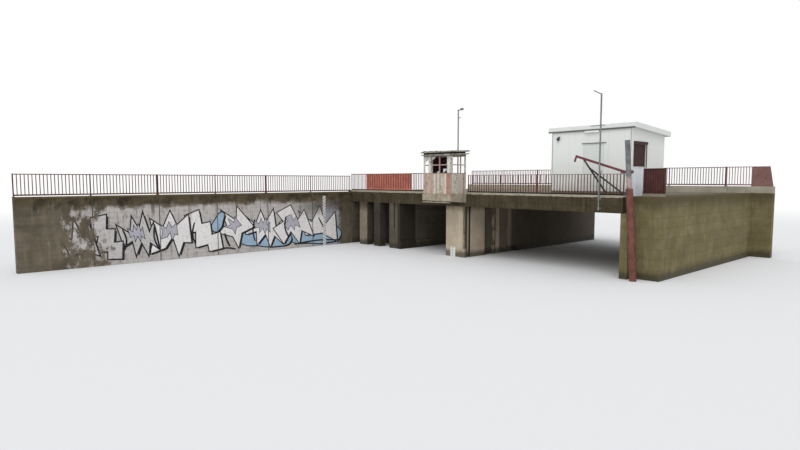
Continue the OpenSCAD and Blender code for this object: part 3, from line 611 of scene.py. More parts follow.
def plain_coat(name, base, roughness, worn):
    """An even coat with slight tone changes and a little dirt."""
    finish = Finish(name, base, roughness)
    patches = finish.patches(0.4)
    finish.lay(patches["Patches"], shade(base, 0.7), worn)
    finish.lay(finish.streaks(0.06, 0.5, 0.4), shade(base, 0.6), worn)
    rough = finish.ramp(patches["Grain"], 0.2, 0.8, roughness - 0.08, roughness + 0.12)
    finish.end(patches["Grain"], 0.0008, rough)


# Mesh tools


def drop_selection():
    bpy.ops.object.select_all(action="DESELECT")


def pick(piece):
    """Makes one piece the active and only selected one."""
    drop_selection()
    piece.select_set(True)
    bpy.context.view_layer.objects.active = piece


def freeze():
    """Applies the active piece's place, turn and scale to its mesh."""
    bpy.ops.object.transform_apply(location=True, rotation=True, scale=True)
    return bpy.context.object


def as_mesh(piece):
    """Turns a curve or a text into a mesh."""
    pick(piece)
    bpy.ops.object.convert(target="MESH")
    return bpy.context.object


def modify(piece, kind, **settings):
    """Adds a modifier with its settings and applies it."""
    pick(piece)
    modifier = piece.modifiers.new(kind.title(), kind)
    for name, value in settings.items():
        setattr(modifier, name, value)
    bpy.ops.object.modifier_apply(modifier=modifier.name)
    return piece


def soften(piece, width, segments=1):
    """Rounds the piece's edges with a bevel that is applied."""
    return modify(piece, "BEVEL", width=width, segments=segments, limit_method="ANGLE",
                  angle_limit=math.radians(40))


def block(low, high):
    """A block between two corners."""
    drop_selection()
    low, high = Vector(low), Vector(high)
    bpy.ops.mesh.primitive_cube_add(size=1, location=(low + high) / 2)
    bpy.context.object.scale = high - low
    return freeze()


def rod(start, end, radius, sides=12):
    """A round bar between two points."""
    drop_selection()
    start, end = Vector(start), Vector(end)
    along = end - start
    bpy.ops.mesh.primitive_cylinder_add(
        vertices=sides, radius=radius, depth=along.length, location=(start + end) / 2,
        rotation=along.to_track_quat("Z", "Y").to_euler())
    return freeze()


def bolt_head(centre, along, radius, height):
    """A bolt head on a face, standing out along a direction."""
    centre = Vector(centre)
    sides = bpy.context.scene.sluice_sizes.bolt_sides
    return rod(centre, centre + Vector(along) * height, radius, sides)


def join(pieces):
    """One piece out of several."""
    if len(pieces) > 1:
        drop_selection()
        for piece in pieces:
            piece.select_set(True)
        bpy.context.view_layer.objects.active = pieces[0]
        bpy.ops.object.join()
    return pieces[0]


def dress(piece, material):
    """Gives a piece its finish in place of any other."""
    piece.data.materials.clear()
    piece.data.materials.append(bpy.data.materials[material])


def settle(pieces, name, material, edge=0.0, segments=1, smooth=None, body=STRUCTURE):
    """Joins pieces, rounds their edges, and gives them their name, finish and body."""
    piece = join(pieces)
    if edge:
        soften(piece, edge, segments)
    piece.name = name
    piece.data.name = name
    dress(piece, material)
    if smooth is not None:
        pick(piece)
        bpy.ops.object.shade_smooth_by_angle(angle=math.radians(smooth))
    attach(piece, body)


def points_of(node, test=lambda point: True):
    """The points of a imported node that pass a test."""
    return [v.co for v in NODES[node].data.vertices if test(v.co)]


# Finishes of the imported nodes

NODE_FINISHES = {
    "Pier Concrete": ["central_pier"],
    # The materials named Painted Shade are darker copies of the pier's colour, painting the shade
    # under the deck
    "Outer Column Painted Shade Concrete": ["outer_column"],
    "Left Pier Painted Shade Concrete": ["left_pier"],
    "Deep Painted Shade Concrete": ["inner_column", "left_recess_wall"],
    "Bay Wall Painted Shade Concrete": ["left_bay_wall", "left_rear_wall", "left_end_wall"],
    "Abutment Concrete": ["right_abutment"],
    "Beam Concrete": ["front_beam", "rear_beam"],
    "Deck Concrete": ["deck_slab", "house_floor"],
    "Kerb Concrete": ["front_kerb", "rear_kerb"],
    "Bank Wall": ["bank_wall"],
    "Bank Fence Paint": ["bank_fence_1", "bank_fence_2", "bank_fence_3",
                         "rear_fence_1", "rear_fence_2", "rear_fence_3"],
    "End Panel Paint": ["rear_fence_4"],
    "Railing Paint": ["left_railing", "right_railing_1", "right_railing_2"],
    "Ribbed Panel Paint": ["ribbed_panel"],
    "Side Fence Paint": ["side_fence"],
    "Booth Plaster": ["booth_floor", "booth_parapet"],
    "Booth Post Plaster": ["booth_posts"],
    "Booth Roof": ["booth_roof"],
    "Booth Frames": ["booth_window_bars"],
    "Booth Sheet Paint": ["booth_sheets"],
    "House Render": ["front_wall_left", "front_wall_right", "front_wall_top",
                     "house_left_wall", "house_right_wall", "house_rear_wall"],
    "House Roof": ["house_roof"],
    "Door Paint": ["door_frame", "house_door"],
    "Shutter Paint": ["side_shutter"],
    "Cabinet Paint": ["cabinet"],
    "Hoist Post Paint": ["hoist_post"],
    "Hoist Boom Paint": ["hoist_boom"],
    "Black Steel": ["hoist_struts"],
    "Zinc": ["tall_mast", "camera_mast", "door_handle"],
    "Gauge Enamel": ["gauge_boards"],
    "Lamp Plastic": ["eave_lamp"],
    "Camera Housing": ["dome_camera"],
}

# Plain coats: colour, roughness and how worn they are
PLAIN_COATS = {
    "Booth Frames": ((176, 158, 144), 0.8, 0.5),
    "House Roof": ((226, 228, 224), 0.6, 0.12),
    "Door Paint": ((220, 223, 217), 0.5, 0.1),
    "Cabinet Paint": ((228, 231, 236), 0.5, 0.16),
    "Black Steel": ((44, 36, 36), 0.55, 0.3),
    "Lamp Plastic": ((206, 206, 200), 0.4, 0.2),
    "Camera Housing": ((66, 66, 68), 0.4, 0.2),
    "Gutter Paint": ((92, 96, 92), 0.5, 0.3),
    "Gauge Ink": ((44, 46, 52), 0.5, 0.2),
    "Faded Ink": ((148, 146, 140), 0.6, 0.3),
    "Roof Felt": ((66, 62, 58), 0.9, 0.5),
    "Old Pane": ((196, 200, 198), 0.25, 0.5),
    "Lamp Cover": ((236, 236, 230), 0.25, 0.1),
    "Dark Glass": ((18, 18, 20), 0.12, 0.1),
}

# Spray paints of the bank wall: colour and how worn they are
SPRAY_COATS = {
    "Spray White": ((236, 232, 230), 0.4),
    "Spray Grey": ((200, 196, 194), 0.45),
    "Spray Pale": ((184, 182, 192), 0.4),
    "Spray Blue": ((160, 188, 208), 0.5),
    "Spray Black": ((30, 30, 36), 0.3),
}


class SLUICE_OT_finishes(Operator):
    """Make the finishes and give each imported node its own"""
    bl_idname = "sluice.finishes"
    bl_label = "Finishes"

    def execute(self, context):
        colours = context.scene.sluice_colours
        for make in (make_patches, make_streaks, make_above, make_courses, make_rust, make_within):
            make()
        pier, red, bare = tuple(colours.pier), tuple(colours.railing), tuple(colours.wall)
        # Colours of painted shade: a green one for the slot corner, partly algae and partly shade, and
        # a plain dim one
        algae_and_slot_shade = screen(38, 50, 38)
        painted_shade = screen(40, 36, 30)
        # Painted shade on the pier's side: the slot corner, the gate recess, the recess behind it and
        # the part under the deck
        pier_painted_shades = [
            ((PIER_FACE, BEAM_FRONT + 0.13, 1.85), (0.08, 0.1, 1.25), 0.1, 0.85, algae_and_slot_shade),
            ((PIER_FACE - 0.1, BEAM_FRONT + GATE_SLOT[0] + 0.48, 1.6), (0.2, 0.46, 2.2), 0.04,
             0.7, painted_shade),
            ((PIER_FACE - 0.05, BEAM_FRONT + 4.0, 1.6), (0.2, 0.5, 2.2), 0.1, 0.6, painted_shade),
            ((PIER_FACE, BEAM_FRONT + 10.6, 1.6), (0.05, 5.5, 2.2), 0.6, 0.8, screen(34, 31, 25)),
        ]
        concrete("Pier Concrete", pier, patch_size=1.4, board=0.24, boards_along=0,
                 top=3.05, top_colour=screen(92, 80, 62), streak_share=0.4,
                 painted_shades=pier_painted_shades)
        # Painted shade: the outer column is a darker copy of the pier's colour for the shade under the
        # deck, with more shade painted on its side face
        column_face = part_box("outer_column")[1]
        column_painted_shades = [((column_face.x + 0.12, BEAM_FRONT + 0.3, 1.8), (0.16, 0.6, 2.2), 0.03,
                          0.75, painted_shade)]
        concrete("Outer Column Painted Shade Concrete", shade(pier, 0.52), patch_size=0.9, board=0.2,
                 top=2.7, top_colour=screen(62, 56, 44), streak_share=0.6,
                 painted_shades=column_painted_shades)
        # Painted shade: the left pier is a much darker copy of the pier's colour, with more shade
        # painted on its side face
        left_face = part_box("left_pier")[1].x
        left_pier_painted_shades = [((left_face, BEAM_FRONT + 0.9, 1.8), (0.25, 1.4, 2.2), 0.12, 0.8, painted_shade)]
        concrete("Left Pier Painted Shade Concrete", shade(pier, 0.2), patch_size=0.9,
                 top=3.1, top_colour=screen(52, 48, 40), streak_share=0.6, painted_shades=left_pier_painted_shades)
        # Painted shade: the inner column, the recess wall and the bay walls are dark copies of the
        # pier's colour for the deep shade under the deck
        concrete("Deep Painted Shade Concrete", shade(pier, 0.1), patch_size=0.9, streak_share=0.6)
        concrete("Bay Wall Painted Shade Concrete", shade(pier, 0.22), patch_size=1.6, board=0.55,
                 streak_share=0.55)
        concrete("Abutment Concrete", screen(130, 119, 88), patch_size=1.3, board=0.5,
                 moss=0.4, streak_share=0.6, top=3.5, top_colour=screen(78, 68, 50))
        concrete("Beam Concrete", tuple(colours.beam), patch_size=0.9, board=0.27,
                 streak_share=0.7, moss=0.05, foot=-1.0, dark=0.36, pale=1.35)
        concrete("Deck Concrete", screen(120, 113, 100), patch_size=1.8, board=2.6,
                 boards_along=0, foot=-1.0, moss=0.16)
        concrete("Kerb Concrete", screen(170, 164, 146), patch_size=0.8, foot=-1.0,
                 streak_share=0.35, pale=1.15)
        concrete("Booth Plaster", screen(172, 161, 142), patch_size=0.35, foot=-1.0,
                 streak_share=0.6, dark=0.42, pale=1.2)
        concrete("Wall Crust", screen(92, 80, 58), patch_size=0.4, foot=-1.0, moss=0.3)
        concrete("Joint Filler", screen(96, 88, 76), patch_size=0.5, foot=-1.0)
        bank_wall_finish("Bank Wall", bare, tuple(colours.wall_paint))
        old_paint("Bank Fence Paint", shade(red, 0.55), rust_share=0.9, rust_size=0.3)
        old_paint("End Panel Paint", screen(124, 90, 86), rust_share=0.62, rust_size=0.35,
                  streaky=0.6, fade=0.6)
        # The railing's black foot band is a painted shadow line along the deck
        old_paint("Railing Paint", red, rust_share=0.7, rust_size=0.2,
                  painted_shadow_below=DECK_TOP + 0.145)
        old_paint("Booth Sheet Paint", screen(66, 30, 32), rust_share=0.4, rust_size=0.2)
        old_paint("Hoist Boom Paint", screen(98, 50, 54), rust_share=0.4, rust_size=0.25)
        old_paint("Guide Steel", screen(46, 40, 34), rust_share=0.6, rust_size=0.15)
        ribbed_paint("Ribbed Panel Paint", tuple(colours.ribbed), "ribbed_panel", 0.258)
        ribbed_paint("Side Fence Paint", screen(88, 50, 46), "side_fence", 0.1225, 0.15,
                     plinth=0.14)
        spotted_plaster("Booth Post Plaster", screen(222, 217, 208))
        booth_roof_finish("Booth Roof")
        boards_finish("Booth Boards")
        render_coat("House Render", tuple(colours.render))
        plain_coat("Shutter Paint", tuple(colours.shutter), 0.7, 0.3)
        hoist_finish("Hoist Post Paint", tuple(colours.hoist))
        zinc("Zinc", screen(136, 138, 140))
        gauge_finish("Gauge Enamel")
        for name, (colour, roughness, worn) in PLAIN_COATS.items():
            plain_coat(name, screen(*colour), roughness, worn)
        for name, (colour, worn) in SPRAY_COATS.items():
            wall_spray(name, screen(*colour), worn, bare)
        for finish, names in NODE_FINISHES.items():
            for name in names:
                dress(NODES[name], finish)
        return {"FINISHED"}


# Wall paint: each shape is a closed outline in a unit square, sharp or smooth

PAINT_SHAPES = {
    "crest": (False, [(0.0, 0.08), (0.16, 0.8), (0.36, 0.58), (0.5, 1.0), (0.86, 0.88),
                      (0.72, 0.62), (1.0, 0.5), (0.8, 0.06), (0.58, 0.34), (0.4, -0.02),
                      (0.3, 0.3)]),
    "bolt": (False, [(0.0, 0.42), (0.36, 1.0), (0.44, 0.66), (0.78, 0.98), (0.7, 0.6),
                     (1.0, 0.5), (0.6, 0.3), (0.5, 0.0), (0.36, 0.34)]),
    "cloud": (True, [(0.0, 0.28), (0.08, 0.66), (0.34, 0.78), (0.5, 1.0), (0.76, 0.84),
                     (0.98, 0.6), (0.9, 0.2), (0.6, 0.06), (0.3, 0.0)]),
    "shard": (False, [(0.0, 0.0), (0.12, 0.86), (0.34, 0.46), (0.52, 1.0), (0.68, 0.5),
                      (1.0, 0.76), (0.8, 0.12), (0.4, 0.22)]),
    "drop": (True, [(0.5, 1.0), (0.78, 0.5), (0.72, 0.1), (0.4, 0.0), (0.16, 0.26),
                    (0.24, 0.62)]),
    "comb": (False, [(0.0, 0.1), (0.06, 0.72), (0.2, 0.5), (0.3, 1.0), (0.46, 0.62), (0.6, 0.94),
                     (0.7, 0.56), (1.0, 0.8), (0.9, 0.3), (0.66, 0.4), (0.62, 0.04),
                     (0.44, 0.34), (0.3, 0.0), (0.22, 0.3)]),
    "stair": (False, [(0.0, 0.0), (0.04, 0.4), (0.28, 0.36), (0.3, 0.68), (0.54, 0.66),
                      (0.58, 1.0), (0.96, 0.9), (0.86, 0.5), (0.7, 0.5), (0.74, 0.12),
                      (0.4, 0.16), (0.38, -0.02)]),
    "wave": (False, [(0.0, 0.3), (0.12, 0.94), (0.38, 0.68), (0.56, 1.0), (0.7, 0.62),
                     (1.0, 0.8), (0.88, 0.34), (0.98, 0.02), (0.62, 0.16), (0.46, 0.44),
                     (0.28, 0.0), (0.2, 0.3)]),
}

# Shape, distance from the corner, height of its foot, width, height, turn in degrees, finish
PAINT_LAYOUT = [
    ("cloud", 1.1, 0.2, 4.8, 1.7, 0, "Spray Blue"),
    ("cloud", 5.4, 0.3, 4.2, 1.5, 3, "Spray Blue"),
    ("shard", 1.3, 0.45, 3.5, 2.45, 7, "Spray White"),
    ("comb", 6.0, 0.35, 3.1, 2.5, 6, "Spray White"),
    ("crest", 3.7, 0.35, 3.1, 2.7, -8, "Spray White"),
    ("bolt", 8.3, 0.4, 2.6, 2.6, -9, "Spray White"),
    ("drop", 10.3, 1.5, 0.9, 1.3, 30, "Spray Blue"),
    ("stair", 10.6, 0.35, 2.3, 2.6, -4, "Spray White"),
    ("wave", 12.5, 0.3, 2.5, 2.6, 5, "Spray White"),
    ("comb", 14.6, 0.4, 2.1, 2.4, -6, "Spray Grey"),
    ("stair", 16.4, 0.45, 1.9, 2.4, 8, "Spray Grey"),
    ("shard", 17.9, 0.5, 1.7, 2.1, -8, "Spray Grey"),
]

# Brush strokes: points as distance from the corner and height, and half the width
PAINT_STROKES = [
    ([(2.5, 0.9), (2.7, 1.4), (3.1, 2.1)], 0.05),
    ([(5.6, 0.8), (5.9, 1.5), (5.8, 2.3)], 0.06),
    ([(8.2, 0.7), (8.35, 1.4), (8.2, 2.2)], 0.05),
    ([(10.0, 0.5), (10.2, 0.9), (10.35, 1.4)], 0.06),
    ([(12.25, 0.8), (12.45, 1.4), (12.3, 2.2)], 0.05),
    ([(14.5, 0.7), (14.75, 1.4), (14.7, 2.2)], 0.05),
    ([(16.4, 0.8), (16.3, 1.4), (16.5, 2.0)], 0.05),
    ([(1.2, 0.3), (3.2, 0.42), (5.2, 0.26)], 0.05),
    ([(9.6, 0.3), (10.3, 0.42), (11.0, 0.28)], 0.05),
]

# Drop shadow of a painted shape: towards the corner and down
PAINT_SHADOW = (-0.13, -0.1)


class SLUICE_OT_wall_paint(Operator):
    """Paint plain clouds, shards, combs, bolts, steps, drops and waves on the bank wall"""
    bl_idname = "sluice.wall_paint"
    bl_label = "Wall Paint"

    def outline(self, points, smooth, grow, proud):
        """A flat filled outline with a little thickness, as a mesh in the X-Y plane."""
        drop_selection()
        bpy.ops.curve.primitive_bezier_circle_add(radius=1)
        shape = bpy.context.object
        curve = shape.data
        curve.dimensions = "2D"
        curve.fill_mode = "BOTH"
        curve.resolution_u = 6
        spline = curve.splines[0]
        spline.bezier_points.add(len(points) - len(spline.bezier_points))
        for knot, point in zip(spline.bezier_points, points):
            knot.handle_left_type = knot.handle_right_type = "AUTO" if smooth else "VECTOR"
            knot.co = (*point, 0)
        curve.offset = grow
        curve.extrude = proud / 2
        return as_mesh(shape)

    def on_wall(self, piece, level):
        """Stands the flat shape up on the wall's face, at its own level."""
        turn = Matrix(((0, 0, 1, 0), (-1, 0, 0, 0), (0, 1, 0, 0), (0, 0, 0, 1)))
        place = Matrix.Translation((WALL_FACE + level, BEAM_FRONT, 0))
        piece.data.transform(place @ turn)
        return piece

    def stroke(self, points, half):
        """The outline of a tapered stroke through three points."""
        left, right = [], []
        for i, point in enumerate(points):
            before = Vector(points[max(i - 1, 0)])
            after = Vector(points[min(i + 1, len(points) - 1)])
            along = (after - before).normalized()
            side = Vector((-along.y, along.x)) * half * (1.0 if 0 < i < len(points) - 1 else 0.35)
            left.append(tuple(Vector(point) + side))
            right.append(tuple(Vector(point) - side))
        return left + right[::-1]

    def execute(self, context):
        line = context.scene.sluice_sizes.paint_outline
        step, level = 0.0003, 0.001
        by_finish = {}

        def coat_on(outline, smooth, grow, coat):
            nonlocal level
            level += step
            piece = self.on_wall(self.outline(outline, smooth, grow, step), level)
            by_finish.setdefault(coat, []).append(piece)

        for shape, along, foot, width, height, turn, finish in PAINT_LAYOUT:
            smooth, unit = PAINT_SHAPES[shape]
            spin = Matrix.Rotation(math.radians(turn), 2)
            middle = Vector((along + width / 2, foot + height / 2))
            points = [tuple(middle + spin @ Vector(((x - 0.5) * width, (z - 0.5) * height)))
                      for x, z in unit]
            shadow = [(x + PAINT_SHADOW[0], max(z + PAINT_SHADOW[1], 0.06)) for x, z in points]
            inner = [tuple(middle + (Vector(point) - middle) * 0.4 + Vector((0.1, 0.15)))
                     for point in points]
            coats = [(shadow, 0.0, "Spray Black"), (points, line, "Spray Black"),
                     (points, 0.0, finish)]
            if shape in ("crest", "comb", "wave", "bolt"):
                coats += [(inner, line / 2, "Spray Black"), (inner, 0.0, "Spray Pale")]
            for outline, grow, coat in coats:
                coat_on(outline, smooth, grow, coat)
        for points, half in PAINT_STROKES:
            coat_on(self.stroke(points, half), True, 0.0, "Spray Black")
        for finish, pieces in by_finish.items():
            settle(pieces, "wall_" + finish.lower().replace(" ", "_"), finish)
        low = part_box("bank_wall")[0]
        bay = (BEAM_FRONT - low.y) / WALL_BAYS
        beads = []
        for i in range(1, WALL_BAYS):
            y = low.y + i * bay
            beads.append(block((WALL_FACE - 0.02, y - 0.022, 0.01),
                               (WALL_FACE + level + 0.004, y + 0.022, WALL_TOP - 0.03)))
        settle(beads, "wall_joint_beads", "Joint Filler", 0.004)
        return {"FINISHED"}


class SLUICE_OT_gauge_marks(Operator):
    """Put marks and plain numbers on the staff gauges"""
    bl_idname = "sluice.gauge_marks"
    bl_label = "Gauge Marks"

    def execute(self, context):
        face, proud = WALL_FACE + 0.025, 0.002
        wall_gauge = BEAM_FRONT - 2.58
        half, tick, pitch = 0.115, 0.05, 0.1
        ticks = []
        for i in range(36):
            foot = 0.05 + i * pitch
            sides = (-half + 0.01, -0.01) if i % 2 else (0.01, half - 0.01)
            ticks.append(block((face, wall_gauge + sides[0], foot),
                               (face + proud, wall_gauge + sides[1], foot + tick)))
        settle(ticks, "gauge_marks", "Gauge Ink")
        pier_face = BEAM_FRONT - 0.02
        faded = [block((-0.27, pier_face - proud, 0.03 + i * pitch),
                       (-0.1 if i % 2 else -0.15, pier_face, 0.065 + i * pitch))
                 for i in range(6)]
        settle(faded, "pier_gauge_marks", "Faded Ink")
        turn = Matrix(((0, 0, 1, 0), (1, 0, 0, 0), (0, 1, 0, 0), (0, 0, 0, 1)))
        numbers = []
        for metre in (1, 2, 3):
            drop_selection()
            bpy.ops.object.text_add()
            text = bpy.context.object
            text.data.body = str(metre)
            text.data.size = 0.16
            text.data.extrude = 0.001
            text.data.align_x = "CENTER"
            digit = as_mesh(text)
            spot = Matrix.Translation((face + proud, wall_gauge, metre + 0.02))
            digit.data.transform(spot @ turn)
            numbers.append(digit)
        settle(numbers, "gauge_numbers", "Gauge Ink")
        return {"FINISHED"}


class SLUICE_OT_booth_boards(Operator):
    """Clad the booth's parapet with weathered boards"""
    bl_idname = "sluice.booth_boards"
    bl_label = "Booth Boards"

    def execute(self, context):
        sizes = context.scene.sluice_sizes
        rng = random.Random(12)
        low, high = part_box("booth_parapet")
        thick = sizes.board_thickness
        pieces = []

        def clad(start, end, face, out, along_x):
            """Boards side by side along one face, standing out from it."""
            count = round((end - start) / sizes.board_width)
            width = (end - start) / count
            for i in range(count):
                outer = face + out * thick * rng.uniform(0.75, 1.15)
                left = start + i * width + rng.uniform(0.001, 0.005)
                right = start + (i + 1) * width - rng.uniform(0.001, 0.005)
                foot = low.z + rng.uniform(0.0, 0.03)
                top = high.z - rng.uniform(-0.012, 0.03)
                near, far = sorted((face, outer))
                share = (left - start) / (end - start)
                if along_x:
                    board = block((left, near, foot), (right, far, top))
                    red = 0.42 if share < 0.38 else 0.95 if share > 0.86 else 0.06
                else:
                    board = block((near, left, foot), (far, right, top))
                    red = 0.85 if 0.72 < share < 0.88 else 0.05
                soften(board, 0.003)
                for name, value in (("board_shade", rng.uniform(0.1, 1.0)),
                                    ("board_red", red * rng.uniform(0.7, 1.0))):
                    layer = board.data.attributes.new(name, "FLOAT", "POINT")
                    layer.data.foreach_set("value", [value] * len(board.data.vertices))
                pieces.append(board)

        clad(low.x, high.x, low.y, -1, True)
        clad(low.y, high.y, high.x, 1, False)
        clad(low.y, high.y, low.x, -1, False)
        settle(pieces, "booth_boards", "Booth Boards")
        over, inner, top = 0.03, 0.1, high.z + 0.02
        front = low.y - over
        sills = [block((low.x - over, front, high.z), (high.x + over, low.y + inner, top)),
                 block((high.x - inner, front, high.z), (high.x + over, high.y, top)),
                 block((low.x - over, front, high.z), (low.x + inner, high.y, top))]
        settle(sills, "booth_sills", "Booth Frames", 0.004)
        return {"FINISHED"}


class SLUICE_OT_house_trim(Operator):
    """Add the gutter, door hood, corner strips and cabinet louvres"""
    bl_idname = "sluice.house_trim"
    bl_label = "House Trim"

    def execute(self, context):
        roof_low, roof_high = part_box("house_roof")
        wall_low, wall_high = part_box("front_wall_left")
        right_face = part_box("house_right_wall")[1].x
        frame_low, frame_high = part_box("door_frame")
        front = wall_low.y
        edge = min(p.z for p in points_of("house_roof", lambda p: p.y < roof_low.y + 0.01))
        gutter = block((roof_low.x + 0.01, roof_low.y - 0.035, edge - 0.045),
                       (roof_high.x - 0.01, roof_low.y + 0.03, edge + 0.03))
        settle([gutter], "eave_gutter", "Gutter Paint", 0.012, 2)
        hood = block((frame_low.x - 0.06, front - 0.05, frame_high.z + 0.01),
                     (frame_high.x + 0.12, front + 0.01, frame_high.z + 0.045))
        settle([hood], "door_hood", "Gutter Paint", 0.006)
        top = wall_high.z - 0.08
        corners = []
        for x in (wall_low.x, right_face):
            for half, back in ((0.012, 0.05), (0.05, 0.004)):
                corners.append(block((x - half, front - 0.012, wall_low.z),
                                     (x + half, front + back, top)))
        settle(corners, "corner_strips", "Door Paint", 0.003)
        low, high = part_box("cabinet")
        slats = []
        for i in range(9):
            foot = low.z + 0.12 + i * 0.055
            slats.append(block((high.x, low.y + 0.12, foot),
                               (high.x + 0.012, high.y - 0.12, foot + 0.03)))
        slats.append(block((low.x - 0.02, low.y - 0.03, high.z),
                           (high.x + 0.03, high.y + 0.03, high.z + 0.03)))
        settle(slats, "cabinet_louvres", "Cabinet Paint", 0.004)
        return {"FINISHED"}


class SLUICE_OT_slot_guides(Operator):
    """Line the edges of the log slots and gate recesses with old steel angles"""
    bl_idname = "sluice.slot_guides"
    bl_label = "Slot Guides"

    def execute(self, context):
        leg, plate = 0.07, 0.008
        foot, head = 0.02, BEAM_FOOT - 0.02
        angles = []
        for face, side in ((PIER_FACE, 1), (-PIER_FACE, -1), (ABUTMENT_FACE, -1)):
            for slot in (LOG_SLOT, GATE_SLOT):
                for edge, out in ((slot[0], -1), (slot[1], 1)):
                    y = BEAM_FRONT + edge
                    near = sorted((face, face + side * plate))
                    span = sorted((y, y + out * leg))
                    angles.append(block((near[0], span[0], foot), (near[1], span[1], head)))
                    deep = sorted((face + side * plate, face - side * leg))
                    lip = sorted((y, y - out * plate))
                    angles.append(block((deep[0], lip[0], foot), (deep[1], lip[1], head)))
        settle(angles, "slot_guides", "Guide Steel", 0.002)
        return {"FINISHED"}


class SLUICE_OT_fence_fittings(Operator):
    """Bolt base plates under the fence posts and cap their tops"""
    bl_idname = "sluice.fence_fittings"
    bl_label = "Fence Fittings"

    def execute(self, context):
        runs = {"left_railing": 4, "right_railing_1": 2, "right_railing_2": 2,
                "rear_fence_1": 2, "rear_fence_2": 2, "rear_fence_3": 2, "rear_fence_4": 0,
                "bank_fence_1": 2, "bank_fence_2": 2, "bank_fence_3": 2}
        post = 0.06
        plates, caps, bolts = [], [], []
        for name, bays in runs.items():
            low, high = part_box(name)
            along = 1 if high.y - low.y > high.x - low.x else 0
            middle = (low + high) / 2
            reach = high[along] - low[along] - post
            for i in range(bays + 1):
                spot = Vector(middle)
                spot[along] = low[along] + post / 2 + (reach * i / bays if bays else 0)
                spot.z = low.z
                size = Vector((0.055, 0.055, 0))
                size[along] = 0.075
                plates.append(block(spot - size, spot + size + Vector((0, 0, 0.012))))
                lid = Vector((0.018, 0.018, 0))
                lid[along] = 0.036
                top = Vector((spot.x, spot.y, high.z))
                caps.append(block(top - lid, top + lid + Vector((0, 0, 0.008))))
                for x in (-1, 1):
                    for y in (-1, 1):
                        corner = spot + Vector((x * (size.x - 0.018), y * (size.y - 0.018), 0.012))
                        bolts.append(bolt_head(corner, (0, 0, 1), 0.009, 0.008))
        settle(plates, "fence_plates", "Bank Fence Paint", 0.002)
        settle(caps, "fence_caps", "Bank Fence Paint", 0.003)
        settle(bolts, "fence_bolts", "Zinc")
        return {"FINISHED"}


class SLUICE_OT_broken_edges(Operator):
    """Lay rough, broken edges along the beam, the wall's top and the booth's slab; the pale strips on
    the beam also paint the highlight on its top edge
    """
    bl_idname = "sluice.broken_edges"
    bl_label = "Broken Edges"

    def crust(self, start, end, drop, thick, seed, rough):
        """A ragged strip of mortar between two points, as wide as its drop."""
        rng = random.Random(seed)
        start, end, across = Vector(start), Vector(end), Vector((0, 0, drop))
        along = end - start
        steps = max(8, round(along.length / 0.09))
        drop_selection()
        bpy.ops.mesh.primitive_grid_add(x_subdivisions=steps, y_subdivisions=3, size=1)
        strip = bpy.context.object
        bend = [rng.uniform(0.25, 1.0) for _ in range(steps + 2)]
        face = along.cross(across).normalized()
        for point in strip.data.vertices:
            share, wide = point.co.x + 0.5, point.co.y + 0.5
            i = min(round(share * steps), steps)
            reach = wide * (0.35 + 0.65 * bend[i])
            proud = rough * rng.uniform(-0.3, 0.6) * (1 if 0.1 < wide < 0.9 else 0.4)
            point.co = start + along * share + across * reach + face * proud
        return modify(strip, "SOLIDIFY", thickness=thick, offset=0)

    def execute(self, context):
        low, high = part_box("front_beam")
        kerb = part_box("front_kerb")
        floor_low, floor_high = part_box("booth_floor")
        wall_low, wall_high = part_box("bank_wall")
        left, right = (low.x, floor_low.x), (floor_high.x, high.x)
        floor = (floor_low.x, floor_high.x)
        beam_y, beam_z = low.y - 0.004, high.z - 0.005
        kerb_y, kerb_z = low.y - 0.002, kerb[1].z - 0.002
        strips = []
        for span, y, z, drop, thick, seed, rough in (
                (left, beam_y, beam_z, -0.07, 0.012, 3, 0.01),
                (right, beam_y, beam_z, -0.06, 0.012, 4, 0.01),
                (left, kerb_y, kerb_z, -0.05, 0.01, 5, 0.008),
                (right, kerb_y, kerb_z, -0.05, 0.01, 6, 0.008),
                (floor, floor_low.y - 0.004, floor_high.z, -0.09, 0.014, 7, 0.014),
                (floor, floor_low.y - 0.003, floor_low.z + 0.002, 0.07, 0.012, 9, 0.012)):
            strips.append(self.crust((span[0], y, z), (span[1], y, z), drop, thick, seed, rough))
        side = floor_high.x + 0.004
        strips.append(self.crust((side, floor_low.y, floor_high.z),
                                 (side, floor_high.y, floor_high.z), -0.08, 0.014, 8, 0.014))
        # The pale strips along the beam's top are broken mortar and also a painted highlight where
        # light catches the edge
        settle(strips[:4], "beam_edges", "Kerb Concrete")
        settle(strips[4:], "booth_slab_edges", "Booth Plaster")
        face, top = wall_high.x + 0.004, wall_high.z - 0.004
        strip = self.crust((face, wall_low.y, top), (face, wall_high.y, top), -0.12, 0.016, 10,
                           0.016)
        settle([strip], "wall_top_edge", "Wall Crust")
        return {"FINISHED"}


